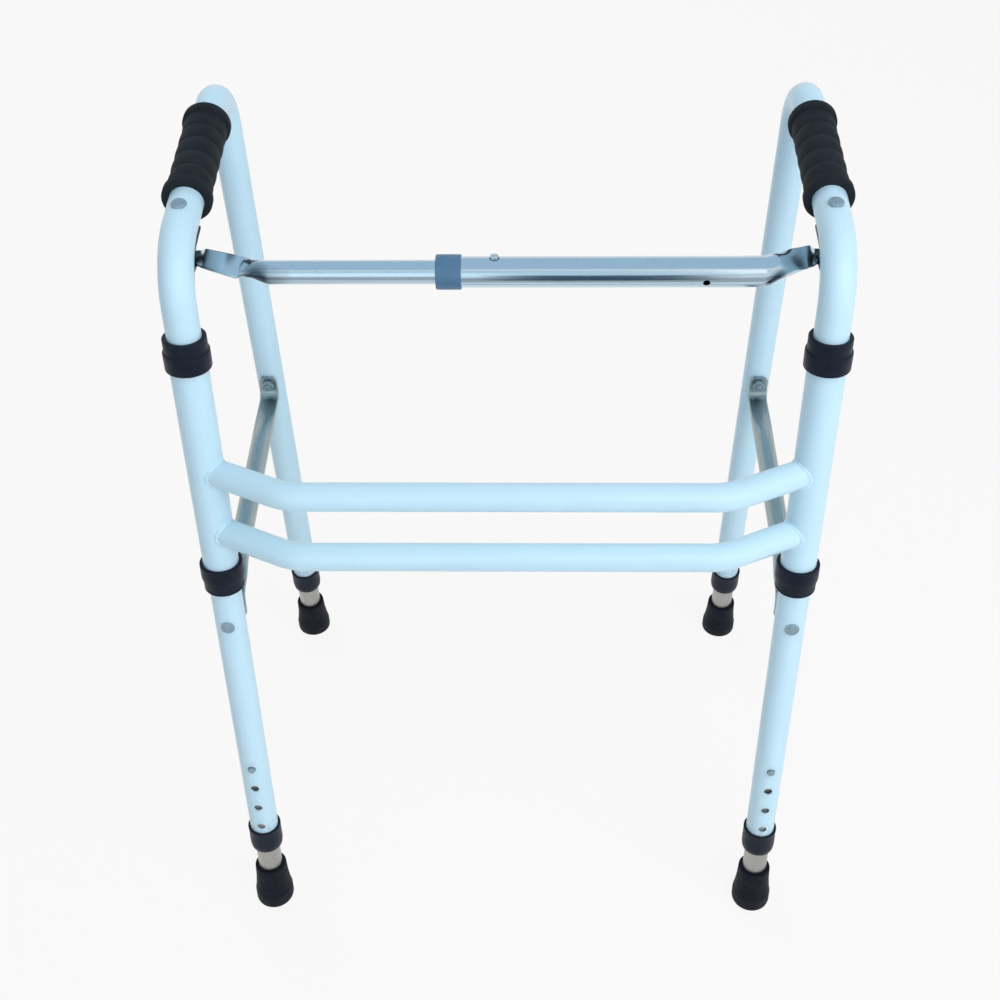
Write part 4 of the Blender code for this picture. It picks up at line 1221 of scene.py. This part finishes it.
def weld_bead(end, name, side, place, looks):
    """Rippled fillet of weld where a crossbar meets its sleeve, under the paint."""
    stations = crossbar_stations(end)
    point, direction = stations[-1] if side > 0 else stations[0]
    direction = direction * side
    across = direction.cross(Z_AXIS).normalized()
    count = 96
    path = []
    for step in range(count):
        angle = 2.0 * math.pi * step / count
        rim = Z_AXIS * math.cos(angle) + across * math.sin(angle)
        path.append(slide_to_sleeve(point + rim * CROSSBAR_R, direction, side))
    rings = []
    for index, here in enumerate(path):
        along = (path[(index + 1) % count] - path[index - 1]).normalized()
        away = Vector((here.x - side * LEG_SPACING / 2, here.y, 0)).normalized()
        out = (away + (here - point - direction * (here - point).dot(direction)).normalized()).normalized()
        cross = along.cross(out).normalized()
        ripple = WELD_BEAD_R * (1.0 + WELD_RIPPLE * math.sin(index * 2.0 * math.pi * WELD_RIPPLES / count))
        rings.append(ring(here, out, cross, ripple * 0.75, ripple * 1.15, 12))
    make_piece(f"{name}_{end}_weld_bead", loft(rings, closed=True), place, looks["paint"], "front_panel",
               [], sharp=WELD_SHARP)


# Telescopic crossbar pieces

def bar_point(x):
    """A place on the axis of the bar's straight middle."""
    return Vector((x, BAR_MIDDLE_BACK, BAR_HEIGHT))


def bar_skin(side, end_x, radius, end):
    """Rings of one half of the bar: flattened nose, squashed end, round tube and its cut end."""
    reach = LEG_SPACING / 2 + BAR_PIVOT_BACK * math.sin(TOE_OUT)
    pivot = Vector((side * reach, BAR_PIVOT_BACK * math.cos(TOE_OUT), BAR_HEIGHT))
    out = X_AXIS * side
    corners = [pivot + out * BAR_TONGUE_NOSE, pivot - out * BAR_END_STRAIGHT,
               bar_point(side * BAR_STRAIGHT / 2), bar_point(end_x)]
    stations = bent_path(corners, BAR_BEND_RADII, 8)
    total = sum((after[0] - before[0]).length for before, after in zip(stations, stations[1:]))
    shaped = BAR_CREASES[end] + BAR_ROUNDING[end] + BAR_SETTLING[end]
    rings = []
    distance = BAR_NOSE_START
    while distance < total:
        rings.append(bar_section(*station_at(stations, distance), distance, radius, end))
        distance += BAR_FINE_STEP if distance < shaped else BAR_LONG_STEP
    tip, way = stations[-1]
    across = way.cross(Z_AXIS).normalized()
    rings.append(stadium(tip - way * BAR_LIP, way, across, radius, radius, 0.0))
    rings.append(stadium(tip, way, across, radius - BAR_LIP, radius - BAR_LIP, 0.0))
    return rings, pivot


def bar_section(point, way, distance, radius, end):
    """The bar's section at a distance from its nose: a tongue, its shoulders, a flat plate, a round tube."""
    narrow = BAR_TONGUE_W / 2
    crease = BAR_CREASES[end]
    nose = min(1.0, distance / narrow)
    tongue = narrow * math.sqrt(max(0.02, 1 - (1 - nose) ** 2))
    share = max(0.0, min(1.0, (distance - BAR_LUG_END) / (crease - BAR_LUG_END)))
    front, rear, rise, lean = (low + (high - low) * share for low, high in zip(*BAR_PLATES[end]))
    shoulder = smooth((distance - BAR_WIDE_FROM) / BAR_SHOULDER)
    corner = smooth((distance - crease) / BAR_CORNER[end])
    roundness = smooth((distance - crease) / BAR_ROUNDING[end])
    above = smooth((distance - crease) / (BAR_ROUNDING[end] * BAR_TOP_ROUNDING))
    below = smooth((distance - crease - BAR_SETTLING[end]) / BAR_ROUNDING[end])
    raised = smooth((distance - BAR_LUG_END) / BAR_JOGGLE)
    front = tongue + (front - tongue) * shoulder
    rear = tongue + (rear - tongue) * shoulder
    front += (radius - front) * corner
    rear += (radius - rear) * roundness
    high = BAR_TONGUE / 2 + rise * raised
    high += (radius - high) * above
    low = BAR_TONGUE / 2 - rise * raised
    low += (radius - low) * below
    back = 1 if way.x < 0 else -1
    centre = point + Z_AXIS * ((high - low) / 2) + Y_AXIS * (rear - front) / 2
    normal = (Y_AXIS * back + Z_AXIS * (lean * raised * (1 - roundness) * back)).normalized()
    return stadium(centre, way, normal, (front + rear) / 2, (high + low) / 2, 1 - smooth(roundness * 1.25))


def bar_half(end, side, end_x, radius, bore_r, depth, flare, place, looks):
    """One half of the bar, bored from its open end, with its pivot hole and the hole for the button."""
    rings, pivot = bar_skin(side, end_x, radius, end)
    obj = solid(f"crossbar_{end}_chrome_tube", loft(rings), place)
    inward = X_AXIS * side
    middle = bar_point(end_x) + inward * ((depth - BORE_SPARE) / 2)
    carve(obj, [(drill_bit(bore_r, depth + BORE_SPARE, 0.0), place @ look_along(middle, inward))])
    top = bar_point(BAR_BUTTON_X) + Z_AXIS * radius
    holes = [(drill_bit(HOLE_R, WALL_DRILL, flare), place @ look_along(top, Z_AXIS))]
    if end == "outer":
        facing = BAR_LOCK_FACING.normalized()
        lock = bar_point(BAR_LOCK_HOLE_X) + facing * radius
        holes.append((drill_bit(BAR_LOCK_HOLE_R, WALL_DRILL, flare), place @ look_along(lock, facing)))
    holes.append(pivot_hole(place @ Matrix.Translation(pivot)))
    carve(obj, holes)
    grain = place @ look_along(Vector(), X_AXIS)
    # Places of painted shade on this half: its dent and the place by the lugs
    wear_and_shade = [(place @ Vector(point), worn_and_shaded) for point, worn_and_shaded in BAR_PAINTED_SHADE[end]]
    finish_piece(obj, looks["chrome"], f"crossbar_{end}_half", [f"crossbar_{end}_tube"], grain, wear_and_shade,
                 BAR_SHARP)


def bar_ring(place, looks):
    """Moulded ring round the outer half's mouth."""
    over = BAR_OUTER_R + HAIR
    lip = BAR_COLLAR_LIP
    length = BAR_COLLAR_LENGTH - lip
    outline = [
        (BAR_OUTER_BORE_R, -lip, 0.0004), (BAR_COLLAR_R, -lip, 0.0032),
        (BAR_COLLAR_R + 0.0001, length * 0.5, 0.004), (BAR_COLLAR_R, length, 0.0014),
        (over, length, 0.0003), (over, -HAIR, 0), (BAR_OUTER_BORE_R, -HAIR, 0),
    ]
    at = place @ look_along(bar_point(BAR_MOUTH_X), X_AXIS, Z_AXIS)
    make_piece("crossbar_end_ring", turned(outline), at, looks["slate"], "crossbar_outer_half",
               ["crossbar_collar"])


def bar_button(place, looks):
    """The button that locks the bar open; once the bar shuts, the outer half holds it in."""
    at = place @ look_along(bar_point(BAR_BUTTON_X), Z_AXIS, X_AXIS)
    obj, low = spring_button("crossbar_spring_button", at, BAR_OUTER_R, BAR_INNER_BORE_R, looks["chrome"],
                             "crossbar_button", "crossbar_snap_button", BAR_BUTTON_TRAVEL)
    flatten_with(obj)


def telescopic_crossbar(place, looks):
    """Outer half on the user's left, inner half on the right, end ring and locking button."""
    depth = BAR_STRAIGHT / 2 - BAR_BORE_STOP - BAR_MOUTH_X
    bar_half("outer", 1, BAR_MOUTH_X, BAR_OUTER_R, BAR_OUTER_BORE_R, depth, BAR_HOLE_FLARE, place, looks)
    bar_half("inner", -1, BAR_INNER_END_X, BAR_INNER_R, BAR_INNER_BORE_R, BAR_INNER_BORE_DEPTH, 0.0,
             place, looks)
    bar_ring(place, looks)
    bar_button(place, looks)


def build_panel(looks):
    place = panel_matrix()
    for name, side in SIDES.items():
        sleeve(name, side, place, looks)
        for end in ("upper", "lower"):
            collar(name, side, end, place, looks)
            weld_bead(end, name, side, place, looks)
    for end in CROSSBAR_HEIGHTS:
        crossbar(end, place, looks)
    telescopic_crossbar(place, looks)


# Studio

def camera():
    """A camera at the photograph's viewing place and angle."""
    data = bpy.data.cameras.new("photo_camera")
    data.sensor_fit = "HORIZONTAL"
    data.sensor_width = SENSOR
    data.lens = FOCAL * SENSOR / IMAGE_SIZE
    data.shift_x = (IMAGE_SIZE / 2 - CENTRE_PX[0]) / IMAGE_SIZE
    data.shift_y = (CENTRE_PX[1] - IMAGE_SIZE / 2) / IMAGE_SIZE
    data.clip_start = 0.05
    data.clip_end = 60.0
    obj = bpy.data.objects.new("photo_camera", data)
    bpy.context.scene.collection.objects.link(obj)
    ahead = CAMERA_AHEAD.normalized()
    right = (CAMERA_RIGHT - ahead * CAMERA_RIGHT.dot(ahead)).normalized()
    up = right.cross(ahead)
    obj.matrix_world = Matrix.Translation(CAMERA_PLACE) @ Matrix((right, up, -ahead)).transposed().to_4x4()
    bpy.context.scene.camera = obj


def area_light(name, place, size, watts):
    """A square white lamp that faces the middle of the frame."""
    data = bpy.data.lights.new(name, "AREA")
    data.shape = "RECTANGLE"
    data.size = size
    data.size_y = size
    data.energy = watts
    obj = bpy.data.objects.new(name, data)
    bpy.context.scene.collection.objects.link(obj)
    obj.visible_glossy = False
    ahead = (Vector(LIGHT_TARGET) - Vector(place)).normalized()
    obj.matrix_world = Matrix.Translation(place) @ ahead.to_track_quat("-Z", "Y").to_matrix().to_4x4()


def seen_ray(tree):
    """1 for a ray that shows a surface itself, and 0 for one that only gathers light."""
    path = add_node(tree, "LightPath", {})
    found = path.outputs["Is Camera Ray"]
    for kind in ("Is Glossy Ray", "Is Transmission Ray"):
        found = combine(tree, "MAXIMUM", found, path.outputs[kind])
    return found


def room_colour(tree):
    """The even light that dull surfaces find: a pale room, dimmer towards its floor."""
    coords = add_node(tree, "TexCoord", {})
    split = add_node(tree, "SeparateXYZ", {"Vector": coords.outputs["Generated"]})
    ramp = add_node(tree, "ValToRGB", {"Fac": split.outputs["Z"]})
    elements = ramp.color_ramp.elements
    while len(elements) < len(ROOM):
        elements.new(0.5)
    for element, (position, colour) in zip(elements, ROOM):
        element.position = position
        element.color = (*colour, 1.0)
    return ramp.outputs["Color"]


def world():
    """Even pale surroundings: the camera finds the background's own colour, and light finds a room."""
    made = bpy.data.worlds.new("pale_studio")
    bpy.context.scene.world = made
    made.use_nodes = True
    tree = made.node_tree
    back = tree.nodes["Background"]
    colour = mix_colours(tree, seen_ray(tree), room_colour(tree), (*BACKGROUND, 1.0))
    fill_inputs(tree, back, {"Color": colour, "Strength": 1.0})


def studio_material(obj, name):
    """Give a studio piece a material of its own; its node tree, and the input for its surface."""
    made = bpy.data.materials.new(name)
    made.use_nodes = True
    obj.data.materials.append(made)
    return made.node_tree, made.node_tree.nodes["Material Output"].inputs["Surface"]


def card(name, low, high, colour):
    """A plain card of the studio that only polished surfaces find, given by two of its corners."""
    bm = bmesh.new()
    front = [Vector(low), Vector((high[0], low[1], low[2]))]
    back = [Vector(high), Vector((low[0], high[1], high[2]))]
    bm.faces.new([bm.verts.new(point) for point in front + back])
    obj = solid(name, bm, Matrix.Identity(4))
    tree, surface = studio_material(obj, name + "_colour")
    glow = add_node(tree, "Emission", {"Color": (*colour, 1.0)})
    tree.links.new(glow.outputs["Emission"], surface)
    obj.visible_camera = False
    obj.visible_diffuse = False
    obj.visible_transmission = False
    obj.visible_shadow = False


def floor():
    """Pale floor that keeps the frame's soft shadow and meets the background without a line."""
    bm = bmesh.new()
    bmesh.ops.create_circle(bm, cap_ends=True, radius=FLOOR_R, segments=96)
    obj = solid("studio_floor", bm, Matrix.Translation((0, 0, -FLOOR_GAP)))
    tree, surface = studio_material(obj, "pale_floor")
    shader = tree.nodes["Principled BSDF"]
    shader.inputs["Base Color"].default_value = (*FLOOR_COLOUR, 1.0)
    shader.inputs["Roughness"].default_value = 0.9
    shader.inputs["Specular IOR Level"].default_value = 0.0
    glow = add_node(tree, "Emission", {"Color": (*FLOOR_GLOW, 1.0)})
    share = combine(tree, "MULTIPLY", seen_ray(tree), FLOOR_GLOW_SHARE)
    mix = add_node(tree, "MixShader", {"Fac": share, 1: shader.outputs["BSDF"], 2: glow.outputs["Emission"]})
    tree.links.new(mix.outputs["Shader"], surface)


def studio():
    bpy.context.scene.view_settings.view_transform = "Standard"
    camera()
    world()
    floor()
    for name, values in LIGHTS.items():
        area_light(name, *values)
    for name, values in CARDS.items():
        card("studio_" + name, *values)


def main():
    looks = {
        "paint": white_paint(),
        "chrome": chrome(),
        "shaded_satin": shaded_satin_plate(),
        "aluminium": aluminium(),
        "plastic": black_plastic(),
        "rubber": black_rubber(),
        "grip": grip_foam(),
        "slate": slate_plastic(),
        "black_steel": black_steel(),
        "zinc": zinc_steel(),
    }
    build_panel(looks)
    for name, side in SIDES.items():
        build_side(name, side, looks)
    studio()


main()
